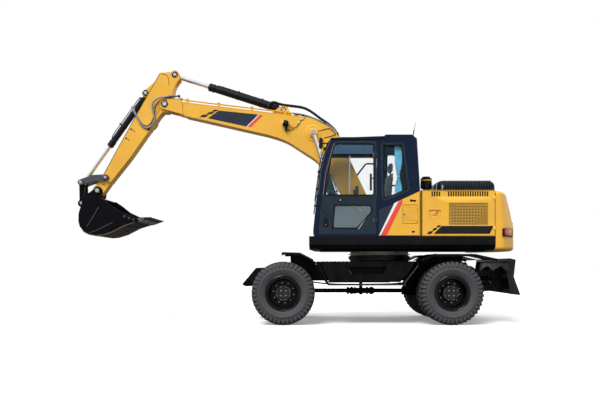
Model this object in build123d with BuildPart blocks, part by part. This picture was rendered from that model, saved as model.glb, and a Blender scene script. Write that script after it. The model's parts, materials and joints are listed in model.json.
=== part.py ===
"""Wheeled excavator: a twin-tyred chassis with a dozer blade, a slewing upper works with cab, and a digging arm.

Millimetres. The machine frame has X forward, Y to the left and Z up. It is modelled about the slew axis, with
Z = 0 on the ground, and each piece is moved at the end so that the origin is under the middle of the machine.
"""

import os
from math import cos, hypot, radians, sin

from build123d import *

os.makedirs("parts", exist_ok=True)

LEFT, RIGHT = 1, -1
SEAT = 0.3  # running gap between faces that turn on or carry each other
SIDE_GAP = 5.0  # gap between moving plates that lie side by side

# ---------------------------------------------------------------- driving dimensions
# Running gear
WHEEL_BASE = 2800
FRONT_AXLE_X = 1700
REAR_AXLE_X = FRONT_AXLE_X - WHEEL_BASE
OVER_TYRES = 2490
TYRE_R = 527
TYRE_W = 278
TWIN_SPACE = 64  # between the two tyres of a pair
TREAD_HALF = 94
RIM_SEAT_R = 252
RIM_FLANGE_R = 285
RIM_HALF = 105
RIM_WALL = 8
FLANGE_T = 12
HUB_R = 130
HUB_OUT = 175  # how far the hub stands out from the wheel's middle plane
KINGPIN_Y = 660
TWIN_OFFSET = (TYRE_W + TWIN_SPACE) / 2
WHEEL_Y = OVER_TYRES / 2 - TYRE_W / 2 - TWIN_OFFSET
DRUM_R = 190
HUB_BACK = -34  # the hub's inner face, from the wheel's middle plane

# Chassis
FRAME_HALF = 330
FRAME_BOTTOM = 720
FRAME_TOP = 1010
FRAME_FRONT = 1960
FRAME_REAR = -1460
RING_R = 540
RING_BASE_Z = 1090
RING_SPLIT_Z = 1165
DECK_UNDER_Z = 1240
STEP_TOP, STEP_BOTTOM = 1055, 655
STEP_IN, STEP_OUT = 700, 1130
FENDER_T = 12
FENDER_LIP = 42
FENDER_OUT = 1235

# Dozer blade and its parallel links
BLADE_HALF = OVER_TYRES / 2
BLADE_T = 24
BLADE_LOW_PIN = (-1963, 604)
BLADE_HIGH_PIN = (-1988, 857)
ARM_PIVOT = (-1290, 570)
LINK_PIVOT = (ARM_PIVOT[0] + BLADE_HIGH_PIN[0] - BLADE_LOW_PIN[0],
    ARM_PIVOT[1] + BLADE_HIGH_PIN[1] - BLADE_LOW_PIN[1])
ARM_IN, ARM_OUT = 420, 460
BLADE_CYL_BASE = (-1500, 1000)
BLADE_CYL_EYE = (-2005, 690)
BLADE_CYL_Y = 200
BLADE_EYE_HALF = 40
BLADE_LUGS = [side * BLADE_CYL_Y + lug * (BLADE_EYE_HALF + 12.3) for side in (1, -1) for lug in (1, -1)]

# Upper works
UPPER_HALF = 1225
DECK_TOP = 1474
DECK_FRONT = 1190
DECK_REAR = -1812
SKIRT_T = 14
SKIRT_FRONT = 1270
PANEL_T = 40
BODY_TOP = 2238
BAY_FRONT = -590
TAIL_REACH = 2363
CAB_RIGHT = 325
CAB_WALL = 45
CAB_BOTTOM = DECK_TOP + SEAT
DOOR_REAR = 140

# Digging arm: pins in side view
BOOM_FOOT = (300, 1930)
BOOM_TIP = (3863, 3886)
BOOM_CYL_BASE = (640, 1560)
BOOM_CYL_EYE = (1195, 3364)
ARM_CYL_BASE = (1737, 3800)
ARM_CYL_EYE = (3688, 4423)
BUCKET_CYL_BASE = (4216, 4095)
ROCKER_PIN = (4924, 2570)
ROCKER_END = (5367, 2482)
BUCKET_PIN = (5074, 2334)
BUCKET_LINK_PIN = (5358, 2107)
BOOM_HALF = 160
CYL_EYE_HALF = 40
STICK_HALF = 130
TIP_HALF = 110
BUCKET_HALF = 575

pieces = {}


# ---------------------------------------------------------------- shape helpers
def keep(part, name):
    """Labels a finished piece and files it under its node name."""
    part.label = name
    pieces[name] = part


def side_plane(y):
    """The side-view plane at that width, with sketch x forward and sketch y up. Extruding goes towards -Y."""
    return Plane.XZ.offset(-y)


def span(side, inner, outer):
    """The two widths of a plate on one side of the machine, the larger Y first."""
    return sorted((side * inner, side * outer), reverse=True)


def plate(outline, y_high, y_low, mode=Mode.ADD, round_r=0.0):
    """Extrudes a side-view outline of (x, z) points between two widths, its corners rounded by round_r."""
    with BuildSketch(side_plane(y_high)) as face:
        with BuildLine():
            Polyline(*outline, close=True)
        make_face()
        if round_r:
            fillet(face.vertices(), round_r)
    extrude(face.sketch, amount=y_high - y_low, mode=mode)


def disc(centre, radius, y_high, y_low, mode=Mode.ADD):
    """A cylinder across the machine between two widths, centred on an (x, z) point."""
    with BuildSketch(side_plane(y_high)) as face:
        with Locations(centre):
            Circle(radius)
    extrude(face.sketch, amount=y_high - y_low, mode=mode)


def bar(start, end, width, y_high, y_low, mode=Mode.ADD):
    """A round-ended bar between two (x, z) points."""
    run = (end[0] - start[0], end[1] - start[1])
    middle = ((start[0] + end[0]) / 2, (start[1] + end[1]) / 2)
    turn = Vector(*run).get_signed_angle(Vector(1, 0), Vector(0, 0, -1))
    with BuildSketch(side_plane(y_high)) as face:
        with Locations(Location((*middle, 0), (0, 0, turn))):
            SlotCenterToCenter(hypot(*run), width)
    extrude(face.sketch, amount=y_high - y_low, mode=mode)


def block(x_range, y_range, z_range, mode=Mode.ADD):
    """A box given by its ranges along X, Y and Z."""
    with BuildSketch(Plane.XY.offset(z_range[0])) as face:
        with Locations(((x_range[0] + x_range[1]) / 2, (y_range[0] + y_range[1]) / 2)):
            Rectangle(abs(x_range[1] - x_range[0]), abs(y_range[1] - y_range[0]))
    extrude(face.sketch, amount=z_range[1] - z_range[0], mode=mode)


def upright(centre, radius, z_low, z_high, mode=Mode.ADD):
    """A vertical cylinder at an (x, y) point."""
    with BuildSketch(Plane.XY.offset(z_low)) as face:
        with Locations(centre):
            Circle(radius)
    extrude(face.sketch, amount=z_high - z_low, mode=mode)


def along(base, tip, y, distance):
    """A plane across a cylinder's axis, that far from its base pin."""
    way = Vector(tip[0] - base[0], 0, tip[1] - base[1]).normalized()
    return Plane(Vector(base[0], y, base[1]) + way * distance, x_dir=(0, 1, 0), z_dir=way)


def rod_along(plane, radius, length, mode=Mode.ADD):
    """A round bar that starts on a plane and runs along its normal."""
    with BuildSketch(plane) as face:
        Circle(radius)
    extrude(face.sketch, amount=length, mode=mode)


def wheel_plane(axle_x, y):
    """The plane of a wheel's half section: sketch x is the radius, sketch y runs along the axle."""
    return Plane((axle_x, y, TYRE_R), x_dir=(1, 0, 0), z_dir=(0, 0, 1))


def ring_section(plane, rings, side):
    """Turns a table of rings about the axle. Columns: inner radius, outer radius, inner side, outer side."""
    with BuildSketch(plane) as profile:
        for inner, outer, low, high in rings:
            with Locations(((inner + outer) / 2, side * (low + high) / 2)):
                Rectangle(outer - inner, high - low)
    revolve(profile.sketch, axis=Axis(plane.origin, (0, 1, 0)))


def pipe_path(points, radius, bend):
    """A round pipe through points, its corners bent to one radius."""
    with BuildLine() as route:
        FilletPolyline(*points, radius=bend)
    with BuildSketch(Plane(route.line @ 0, z_dir=route.line % 0)) as section:
        Circle(radius)
    sweep(section.sketch, path=route.line)


# ---------------------------------------------------------------- wheels
AXLES = {"front": FRONT_AXLE_X, "rear": REAR_AXLE_X}
SIDES = {"left": LEFT, "right": RIGHT}
BEAD_HALF = RIM_HALF - FLANGE_T - SEAT

# Rings of a pair of rims with their disc and hub: inner radius, outer radius, inner side, outer side
WHEEL_RINGS = [
    (RIM_SEAT_R - RIM_WALL, RIM_SEAT_R, -TWIN_OFFSET - RIM_HALF, TWIN_OFFSET + RIM_HALF),
    (HUB_R - 1, RIM_SEAT_R - RIM_WALL + 1, -14, 14),
    (HUB_R - 1, 200, HUB_BACK, -13),
    (0, HUB_R, HUB_BACK, HUB_OUT),
]
for flange_centre in (-TWIN_OFFSET, TWIN_OFFSET):
    for flange_side in (-1, 1):
        edge = sorted((flange_centre + flange_side * RIM_HALF,
            flange_centre + flange_side * (RIM_HALF - FLANGE_T)))
        WHEEL_RINGS.append((RIM_SEAT_R - 1, RIM_FLANGE_R, *edge))

for axle, axle_x in AXLES.items():
    for side_name, side in SIDES.items():
        with BuildPart() as tyres:
            for offset_y in (-TWIN_OFFSET, TWIN_OFFSET):
                section = wheel_plane(axle_x, side * WHEEL_Y + offset_y)
                with BuildSketch(section):
                    with BuildLine():
                        Polyline(
                            (RIM_FLANGE_R + 1, -BEAD_HALF),
                            (RIM_SEAT_R + SEAT, -BEAD_HALF),
                            (RIM_SEAT_R + SEAT, BEAD_HALF),
                            (RIM_FLANGE_R + 1, BEAD_HALF),
                        )
                        ThreePointArc((RIM_FLANGE_R + 1, BEAD_HALF), (390, TYRE_W / 2), (503, 118))
                        Polyline((503, 118), (TYRE_R, TREAD_HALF), (TYRE_R, -TREAD_HALF), (503, -118))
                        ThreePointArc((503, -118), (390, -TYRE_W / 2), (RIM_FLANGE_R + 1, -BEAD_HALF))
                    make_face()
                revolve(axis=Axis(section.origin, (0, 1, 0)))
        keep(tyres.part, f"{axle}_{side_name}_tyres")

        with BuildPart() as rims:
            ring_section(wheel_plane(axle_x, side * WHEEL_Y), WHEEL_RINGS, side)
        keep(rims.part, f"{axle}_{side_name}_wheel")

# ---------------------------------------------------------------- axles and steering
AXLE_Z = TYRE_R
KNUCKLE_HALF_H = 185
FORK_T = 34
BOSS_R = 60
ARM_BACK, ARM_Y, ARM_DROP = 150, 572, 150  # steering arm's reach, its plane and its drop below the axle
DRUM_INNER = 200  # the drum's inner face, inward of the wheel's middle plane

for side_name, side in SIDES.items():
    kingpin = (FRONT_AXLE_X, side * KINGPIN_Y)
    with BuildPart() as knuckle:
        plane = wheel_plane(FRONT_AXLE_X, side * WHEEL_Y)
        ring_section(plane, [(0, DRUM_R, -DRUM_INNER, HUB_BACK - SEAT),
            (0, 110, -WHEEL_Y + KINGPIN_Y, -DRUM_INNER + 1)], side)
        upright(kingpin, BOSS_R, AXLE_Z - KNUCKLE_HALF_H, AXLE_Z + KNUCKLE_HALF_H)
        # steering arm: back from the kingpin, then in to the tie rod
        arm_x, arm_z = FRONT_AXLE_X - ARM_BACK, AXLE_Z - ARM_DROP
        block((arm_x - 20, FRONT_AXLE_X), span(side, KINGPIN_Y - 22, KINGPIN_Y + 22), (arm_z, arm_z + 30))
        block((arm_x - 20, arm_x + 20), span(side, ARM_Y, KINGPIN_Y), (arm_z, arm_z + 30))
        upright((arm_x, side * ARM_Y), 28, arm_z, arm_z + 30)
    keep(knuckle.part, f"{side_name}_knuckle")

with BuildPart() as tie_rod:
    rod_z = AXLE_Z - ARM_DROP - SEAT - 24
    rod_x = FRONT_AXLE_X - ARM_BACK
    block((rod_x - 16, rod_x + 16), (-ARM_Y, ARM_Y), (rod_z, rod_z + 24))
    for side in (LEFT, RIGHT):
        upright((rod_x, side * ARM_Y), 28, rod_z, rod_z + 24)
keep(tie_rod.part, "tie_rod")

with BuildPart() as front_axle:
    # steps of the hub: inner radius, outer radius, from, to
    plane = wheel_plane(FRONT_AXLE_X, 0)
    ring_section(plane, [(0, 85, -560, 560), (0, 150, -230, 150), (0, 185, -130, 60)], 1)
    for side in (LEFT, RIGHT):
        inner = sorted((side * 530, side * (KINGPIN_Y - BOSS_R - 8)))
        block((FRONT_AXLE_X - 52, FRONT_AXLE_X + 52), inner, (AXLE_Z - KNUCKLE_HALF_H - FORK_T,
            AXLE_Z + KNUCKLE_HALF_H + FORK_T))
        for low in (AXLE_Z - KNUCKLE_HALF_H - SEAT - FORK_T, AXLE_Z + KNUCKLE_HALF_H + SEAT):
            reach = sorted((side * 560, side * KINGPIN_Y))
            block((FRONT_AXLE_X - 52, FRONT_AXLE_X + 52), reach, (low, low + FORK_T))
            upright((FRONT_AXLE_X, side * KINGPIN_Y), 52, low, low + FORK_T)
    # oscillation pivot that carries the frame
    block((FRONT_AXLE_X - 120, FRONT_AXLE_X + 120), (-110, 110), (AXLE_Z + 60, FRAME_BOTTOM - SEAT))
    # input flange of the differential
    with BuildSketch(Plane.YZ.offset(FRONT_AXLE_X - 300)):
        with Locations((0, AXLE_Z)):
            Circle(85)
    extrude(amount=200)
keep(front_axle.part, "front_axle")

with BuildPart() as rear_axle:
    drum_face = WHEEL_Y + HUB_BACK - SEAT
    plane = wheel_plane(REAR_AXLE_X, 0)
    ring_section(
        plane,
        [
            (0, 95, -drum_face, drum_face),
            (0, DRUM_R, drum_face - 170, drum_face),
            (0, DRUM_R, -drum_face, -drum_face + 170),
            (0, 160, -230, 170),
            (0, 185, -140, 80),
        ],
        1,
    )
    for side in (LEFT, RIGHT):
        reach = sorted((side * 190, side * 290))
        block((REAR_AXLE_X - 110, REAR_AXLE_X + 110), reach, (AXLE_Z + 40, FRAME_BOTTOM - SEAT))
keep(rear_axle.part, "rear_axle")

SHAFT_Z = 556
with BuildPart() as driveline:
    # gearbox under the frame, ahead of the rear axle
    block((-760, -470), (-190, 190), (AXLE_Z - 60, FRAME_BOTTOM - SEAT))
    block((-895 + SEAT, -700), (-80, 80), (AXLE_Z - 60, AXLE_Z + 120))
    shaft_start, shaft_end = -470, FRONT_AXLE_X - 300 - SEAT
    # propeller shaft rings: radius, start, end
    for radius, start, end in [
        (38, shaft_start, shaft_end),
        (78, shaft_end - 60, shaft_end),
        (70, 130, 170),
        (70, 480, 520),
        (52, 90, 560),
        (78, shaft_start, shaft_start + 60),
    ]:
        with BuildSketch(Plane.YZ.offset(start)):
            with Locations((0, SHAFT_Z - 20)):
                Circle(radius)
        extrude(amount=end - start)
    # hanger of the middle bearing
    block((310, 360), (-90, 90), (SHAFT_Z - 90, FRAME_BOTTOM - SEAT))
keep(driveline.part, "driveline")

# ---------------------------------------------------------------- chassis
with BuildPart() as chassis:
    # backbone beam, seen from the side, with its raised front nose
    plate(
        [
            (FRAME_REAR, FRAME_BOTTOM),
            (FRAME_FRONT - 260, FRAME_BOTTOM),
            (FRAME_FRONT, 800),
            (FRAME_FRONT, FRAME_TOP - 40),
            (FRAME_FRONT - 120, FRAME_TOP),
            (FRAME_REAR, FRAME_TOP),
        ],
        FRAME_HALF,
        -FRAME_HALF,
    )
    # nose guard that slopes down ahead of the front axle
    plate([(FRAME_FRONT - 20, 640), (2390, 619), (2452, 640), (2455, 668), (2214, 946),
        (FRAME_FRONT - 20, 955)], 300, -300)
    # turret: a drum on a widened plate
    with BuildSketch(Plane.XY.offset(FRAME_TOP - 120)):
        with BuildLine():
            Polyline((820, 330), (420, 640), (-420, 640), (-700, 330), (-700, -330), (-420, -640),
                (420, -640), (820, -330), close=True)
        make_face()
    extrude(amount=STEP_TOP - FRAME_TOP + 120)
    upright((0, 0), RING_R - 10, FRAME_TOP - 10, RING_BASE_Z - SEAT)
    # outriggers that carry the step boxes
    for x in (-330, 650):
        block((x, x + 70), (-STEP_IN + SEAT, STEP_IN - SEAT), (760, FRAME_TOP - 20))
    # rear bracket cheeks with the blade's pivots
    for side in (LEFT, RIGHT):
        high, low = span(side, ARM_IN - SEAT, FRAME_HALF - 30)
        plate(
            [(-1215, 500), (-1360, 500), (-1400, 640), (-1420, 900), (-1340, FRAME_TOP),
                (-1180, FRAME_TOP), (-1180, 760)],
            high,
            low,
        )
    # lugs for the blade's lift cylinders
    for lug_y in BLADE_LUGS:
        plate([(FRAME_REAR + 1, 850), (-1500, 945), (-1545, 975), (-1548, 1018), (-1515, 1046),
            (FRAME_REAR - 10, 1046), (FRAME_REAR + 1, FRAME_TOP)],
              lug_y + 12, lug_y - 12)
keep(chassis.part, "chassis_frame")

with BuildPart() as slew_ring:
    upright((0, 0), RING_R, RING_BASE_Z, RING_SPLIT_Z - SEAT)
    upright((0, 0), RING_R - 90, RING_BASE_Z - 1, RING_SPLIT_Z + 1, mode=Mode.SUBTRACT)
keep(slew_ring.part, "slew_ring")

# Fender runs in side view: start of each polyline is its front end
FENDER_RUNS = {
    "front": [(1725, 1180), (1717, 1211), (1417, 1202), (1199, 1088)],
    "rear": [(-581, 1087), (-790, 1181), (-1469, 1181), (-1842, 1100)],
}
FENDER_WEBS = {
    "front": [(1600, FRAME_TOP + SEAT), (1600, 1190), (1417, 1190), (1210, 1080), (1150, 1050),
        (1150, FRAME_TOP + SEAT)],
    "rear": [(-700, STEP_TOP + SEAT), (-790, 1170), (-1440, 1170), (-1440, FRAME_TOP + SEAT),
        (-760, FRAME_TOP + SEAT)],
}
with BuildPart() as fenders:
    for end_name, run in FENDER_RUNS.items():
        for side in (LEFT, RIGHT):
            high, low = span(side, FENDER_OUT, FRAME_HALF - 40)
            under = [(x, z - FENDER_T) for x, z in reversed(run)]
            plate(run + under, high, low)
            lip_high, lip_low = span(side, FENDER_OUT, FENDER_OUT - FENDER_T)
            plate(run + [(x, z - FENDER_LIP) for x, z in reversed(run)], lip_high, lip_low)
            web_high, web_low = span(side, FRAME_HALF, FRAME_HALF - 20)
            plate(FENDER_WEBS[end_name], web_high, web_low)
keep(fenders.part, "fenders")

STEP_BODY = [(1090, STEP_TOP), (925, 712), (-250, 712), (-470, 985), (-470, STEP_TOP)]
STEP_RAIL = [(1150, STEP_TOP), (958, STEP_BOTTOM), (-290, STEP_BOTTOM), (-560, 990), (-560, STEP_TOP)]
STEP_RAIL_BACK = [(-530, STEP_TOP), (-530, 1000), (-276, 682), (942, 682), (1118, STEP_TOP)]
STEP_POCKET = [(611, 967), (560, 836), (40, 836), (-20, 967)]
with BuildPart() as step_boxes:
    for side in (LEFT, RIGHT):
        plate(STEP_BODY, *span(side, STEP_IN, STEP_OUT - 6))
        # foot rail: a bent strip round the box, held by the top plate
        plate(STEP_RAIL + STEP_RAIL_BACK, *span(side, STEP_OUT - 150, STEP_OUT))
        block((-560, 1140), span(side, STEP_IN, STEP_OUT), (STEP_TOP - 14, STEP_TOP))
        # recessed foothold
        plate(STEP_POCKET, *span(side, STEP_OUT - 130, STEP_OUT + 1), mode=Mode.SUBTRACT)
keep(step_boxes.part, "step_boxes")

# ---------------------------------------------------------------- dozer blade
with BuildPart() as blade:
    # curved mouldboard
    with BuildSketch(side_plane(BLADE_HALF)):
        with BuildLine():
            ThreePointArc((-2138, 1085), (-2108, 809), (-2218, 503))
            Polyline((-2218, 503), (-2218 + BLADE_T, 503))
            ThreePointArc((-2218 + BLADE_T, 503), (-2108 + BLADE_T, 809), (-2138 + BLADE_T, 1085))
            Polyline((-2138 + BLADE_T, 1085), (-2138, 1085))
        make_face()
    extrude(amount=2 * BLADE_HALF)
    # stiffeners across the back: outlines
    for outline in (
        [(-2130, 1040), (-2046, 1060), (-2046, 1108), (-2136, 1085)],
        [(-2095, 760), (-2030, 775), (-2030, 850), (-2095, 865)],
        [(-2190, 503), (-2090, 515), (-2060, 590), (-2140, 620)],
    ):
        plate(outline, BLADE_HALF, -BLADE_HALF)
    # end plates and the brackets that carry the pins
    for side in (LEFT, RIGHT):
        end_high, end_low = span(side, BLADE_HALF, BLADE_HALF - 18)
        plate([(-2136, 1085), (-2046, 1108), (-2000, 820), (-2060, 515), (-2216, 503), (-2106, 809)],
            end_high, end_low)
        ear_in = ARM_OUT + SIDE_GAP
        ear_high, ear_low = span(side, ear_in, ear_in + 34)
        plate([(-2130, 1000), (-1990, 930), (-1925, 860), (-1900, 604), (-1960, 540), (-2150, 530),
            (-2090, 809)], ear_high, ear_low)
        for pin in (BLADE_LOW_PIN, BLADE_HIGH_PIN):
            boss_high, boss_low = span(side, ARM_OUT + SEAT, ear_in + 50)
            disc(pin, 48, boss_high, boss_low)
    for lug_y in BLADE_LUGS:
        plate([(-2110, 620), (-2100, 780), (-2005, 730), (-1965, 690), (-2005, 650)], lug_y + 12, lug_y - 12)
keep(blade.part, "dozer_blade")

with BuildPart() as lower_arms:
    for side in (LEFT, RIGHT):
        high, low = span(side, ARM_IN, ARM_OUT)
        bar(ARM_PIVOT, BLADE_LOW_PIN, 120, high, low)
    block((-1840, -1760), (-ARM_IN - 1, ARM_IN + 1), (560, 640))
keep(lower_arms.part, "blade_lower_arms")

with BuildPart() as upper_links:
    for side in (LEFT, RIGHT):
        high, low = span(side, ARM_IN, ARM_OUT)
        bar(LINK_PIVOT, BLADE_HIGH_PIN, 84, high, low)
keep(upper_links.part, "blade_upper_links")


# ---------------------------------------------------------------- hydraulic cylinders
def barrel(base, tip, y, tube_r, rod_r, mouth, eye_half):
    """A cylinder barrel: base eye, tube bored for its rod, and the thicker gland at its mouth."""
    rod_along(along(base, tip, y, 20), min(tube_r - 16, eye_half - 2), 100)
    rod_along(along(base, tip, y, TUBE_START), tube_r, mouth - TUBE_START)
    rod_along(along(base, tip, y, mouth - 110), tube_r + GLAND, 90)
    disc(base, tube_r - 6, y + eye_half, y - eye_half)
    rod_along(along(base, tip, y, TUBE_START + 40), rod_r + SEAT, mouth, mode=Mode.SUBTRACT)


def rod(base, tip, y, rod_r, start, eye_half, eye_r):
    """A piston rod from inside its barrel to the eye at its tip."""
    length = hypot(tip[0] - base[0], tip[1] - base[1])
    rod_along(along(base, tip, y, start), rod_r, length - start)
    disc(tip, eye_r, y + eye_half, y - eye_half)


BOOM_CYL_Y = 235
TUBE_START = 100
GLAND = 6
# Cylinders. Columns: name, base pin, rod pin, middle planes, tube radius, rod radius, mouth, rod start,
# half widths of the base eye and the rod eye
CYLINDERS = [
    ("boom_cylinder", BOOM_CYL_BASE, BOOM_CYL_EYE, (BOOM_CYL_Y, -BOOM_CYL_Y), 62, 36, 1225, 830, 40, 40),
    ("arm_cylinder", ARM_CYL_BASE, ARM_CYL_EYE, (0,), 66, 38, 1410, 660, 60, 48),
    ("bucket_cylinder", BUCKET_CYL_BASE, ROCKER_END, (0,), 54, 34, 1155, 760, 52, 45),
    ("blade_cylinder", BLADE_CYL_BASE, BLADE_CYL_EYE, (BLADE_CYL_Y, -BLADE_CYL_Y), 46, 26, 500, 175, 40, 40),
]
for name, base, tip, planes, tube_r, rod_r, mouth, start, base_half, tip_half in CYLINDERS:
    with BuildPart() as barrels:
        for y in planes:
            barrel(base, tip, y, tube_r, rod_r, mouth, base_half)
    keep(barrels.part, f"{name}_barrel")
    with BuildPart() as rods:
        for y in planes:
            rod(base, tip, y, rod_r, start, tip_half, tube_r - 6)
    keep(rods.part, f"{name}_rod")

# ---------------------------------------------------------------- boom
EAR_IN = STICK_HALF + SEAT
EAR_OUT = 180
BOOM_TOP = [(3600, 3933), (1250, 3650), (800, 3420), (185, 2130)]
BOOM_UNDER = [(435, 1900), (1000, 2790), (1750, 3275), (3476, 3668), (3600, 3730)]
with BuildPart() as boom:
    with BuildSketch(side_plane(BOOM_HALF)) as boom_side:
        with BuildLine():
            Polyline(*BOOM_TOP, BOOM_FOOT, *BOOM_UNDER, close=True)
        make_face()
        # knees: corner, radius
        for corner, radius in [((1250, 3650), 700), ((800, 3420), 380), ((1000, 2790), 900),
                ((1750, 3275), 1100)]:
            nearest = boom_side.vertices().sort_by_distance((*corner, 0))[0]
            fillet(nearest, radius)
    extrude(amount=2 * BOOM_HALF)
    disc(BOOM_FOOT, 135, BOOM_HALF, -BOOM_HALF)
    disc(BOOM_TIP, 185, EAR_IN, -EAR_IN, mode=Mode.SUBTRACT)
    for side in (LEFT, RIGHT):
        high, low = span(side, EAR_OUT, EAR_IN)
        plate([(3560, 3965), (3535, 3700), (3640, 3730), (3905, 3800), (3940, 3900), (3880, 3975)], high, low)
        disc(BOOM_TIP, 95, high, low)
        # boss where the boom cylinder's eye lies against the boom
        pad_high, pad_low = span(side, BOOM_CYL_Y - 40 - SEAT, BOOM_HALF - 10)
        disc(BOOM_CYL_EYE, 80, pad_high, pad_low)
        # lugs of the arm cylinder's base
        lug_high, lug_low = span(side, 70, 92)
        plate([(1560, 3660), (1660, 3850), (1740, 3878), (1820, 3840), (1980, 3710)], lug_high, lug_low)
        boss_high, boss_low = span(side, 60 + SEAT, 92)
        disc(ARM_CYL_BASE, 46, boss_high, boss_low)
keep(boom.part, "boom")

# ---------------------------------------------------------------- stick
with BuildPart() as stick:
    plate(
        [(3950, 4455), (4990, 2600), (5020, 2530), (4850, 2478), (4500, 2920), (3960, 3690), (3770, 3890),
            (3738, 3995), (3728, 4080), (3713, 4162), (3688, 4230), (3652, 4288), (3600, 4355), (3650, 4480)],
        STICK_HALF,
        -STICK_HALF,
    )
    disc(BOOM_TIP, 140, STICK_HALF, -STICK_HALF)
    disc(ARM_CYL_EYE, 78, STICK_HALF, -STICK_HALF)
    # narrower tip that carries the bucket
    plate([(5010, 2560), (5165, 2385), (4985, 2285), (4840, 2490), (4930, 2600)], TIP_HALF, -TIP_HALF)
    disc(BUCKET_PIN, 98, TIP_HALF, -TIP_HALF)
    # room for the arm cylinder's rod eye
    disc(ARM_CYL_EYE, 175, 56, -56, mode=Mode.SUBTRACT)
    for side in (LEFT, RIGHT):
        disc(ARM_CYL_EYE, 46, *span(side, 48 + SEAT, 57))
    # lugs of the bucket cylinder's base
    for side in (LEFT, RIGHT):
        high, low = span(side, 58, 84)
        plate([(3990, 4360), (4225, 4163), (4292, 4095), (4268, 4042), (4191, 4010), (4130, 3990)], high, low)
        disc(BUCKET_CYL_BASE, 72, high, low)
        disc(BUCKET_CYL_BASE, 42, *span(side, 52 + SEAT, 60))
        pin_high, pin_low = span(side, STICK_HALF - 5, STICK_HALF + SIDE_GAP - SEAT)
        disc(ROCKER_PIN, 62, pin_high, pin_low)
keep(stick.part, "stick")

# ---------------------------------------------------------------- bucket linkage
ROCKER_IN = STICK_HALF + SIDE_GAP
ROCKER_OUT = ROCKER_IN + 32
ROCKER_KNEE = (5150, 2560)
with BuildPart() as rockers:
    for side in (LEFT, RIGHT):
        high, low = span(side, ROCKER_IN, ROCKER_OUT)
        bar(ROCKER_PIN, ROCKER_KNEE, 110, high, low)
        bar(ROCKER_KNEE, ROCKER_END, 110, high, low)
        head_high, head_low = span(side, ROCKER_OUT - 2, ROCKER_OUT + 18)
        disc(ROCKER_PIN, 34, head_high, head_low)
        disc(ROCKER_END, 40, head_high, head_low)
keep(rockers.part, "rocker_links")

LINK_IN, LINK_OUT = 62, TIP_HALF
with BuildPart() as bucket_link:
    for side in (LEFT, RIGHT):
        high, low = span(side, LINK_IN, LINK_OUT)
        bar(ROCKER_END, BUCKET_LINK_PIN, 96, high, low)
        boss_high, boss_low = span(side, LINK_IN, ROCKER_IN - SEAT)
        disc(ROCKER_END, 46, boss_high, boss_low)
        foot_high, foot_low = span(side, LINK_IN, TIP_HALF + SIDE_GAP - SEAT)
        disc(BUCKET_LINK_PIN, 46, foot_high, foot_low)
    web_z = (ROCKER_END[1] + BUCKET_LINK_PIN[1]) / 2
    block((5338, 5388), (-LINK_IN - 1, LINK_IN + 1), (web_z - 150, web_z - 20))
keep(bucket_link.part, "bucket_link")

# ---------------------------------------------------------------- bucket
BUCKET_WALL = 22
BUCKET_SIDE_T = 20
MOUTH = [(4264, 1770), (4319, 1830), (4486, 1908), (4653, 1985), (4818, 2118), (4925, 2185)]
BACK = [(5030, 2196), (5170, 2206), (5219, 2102), (5279, 1903), (5285, 1770), (5262, 1670), (5196, 1582),
    (5097, 1531), (4985, 1509), (4874, 1518), (4707, 1567), (4464, 1690)]
EAR_BUCKET_IN = TIP_HALF + SIDE_GAP
TEETH = 5
TOOTH_W = 84
with BuildPart() as bucket:
    plate(MOUTH + BACK, BUCKET_HALF, -BUCKET_HALF)
    # hollow: the outline taken in by the wall and run out through the mouth
    with BuildSketch(side_plane(BUCKET_HALF - BUCKET_SIDE_T)):
        with BuildLine():
            Polyline(*MOUTH, *BACK, close=True)
        make_face()
        offset(amount=-BUCKET_WALL, kind=Kind.INTERSECTION, mode=Mode.REPLACE)
        with BuildLine():
            Polyline((4340, 1765), (4560, 1700), (4960, 2190), (4900, 2190 + 90), (4180, 1900), close=True)
        make_face()
    extrude(amount=2 * (BUCKET_HALF - BUCKET_SIDE_T), mode=Mode.SUBTRACT)
    # lip plate
    plate([(4240, 1790), (4464, 1722), (4480, 1690), (4250, 1755)], BUCKET_HALF, -BUCKET_HALF)
    # teeth, evenly spaced along the lip
    for number in range(TEETH):
        y = (BUCKET_HALF - 60) * (2 * number / (TEETH - 1) - 1)
        plate([(4330, 1790), (4180, 1822), (4020, 1826), (4170, 1768), (4320, 1728)], y + TOOTH_W / 2,
            y - TOOTH_W / 2)
    # hinge ears
    for side in (LEFT, RIGHT):
        high, low = span(side, EAR_BUCKET_IN, EAR_BUCKET_IN + 34)
        plate([(4988, 2300), (5000, 2370), (5100, 2392), (5402, 2165), (5410, 2060), (5300, 2035),
            (5232, 1990), (5180, 2180), (5000, 2215)], high, low)
        disc(BUCKET_PIN, 76, high, low)
        disc(BUCKET_LINK_PIN, 68, high, low)
        seat_high, seat_low = span(side, TIP_HALF + SEAT, EAR_BUCKET_IN + 50)
        disc(BUCKET_PIN, 60, seat_high, seat_low)
keep(bucket.part, "bucket")

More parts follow.
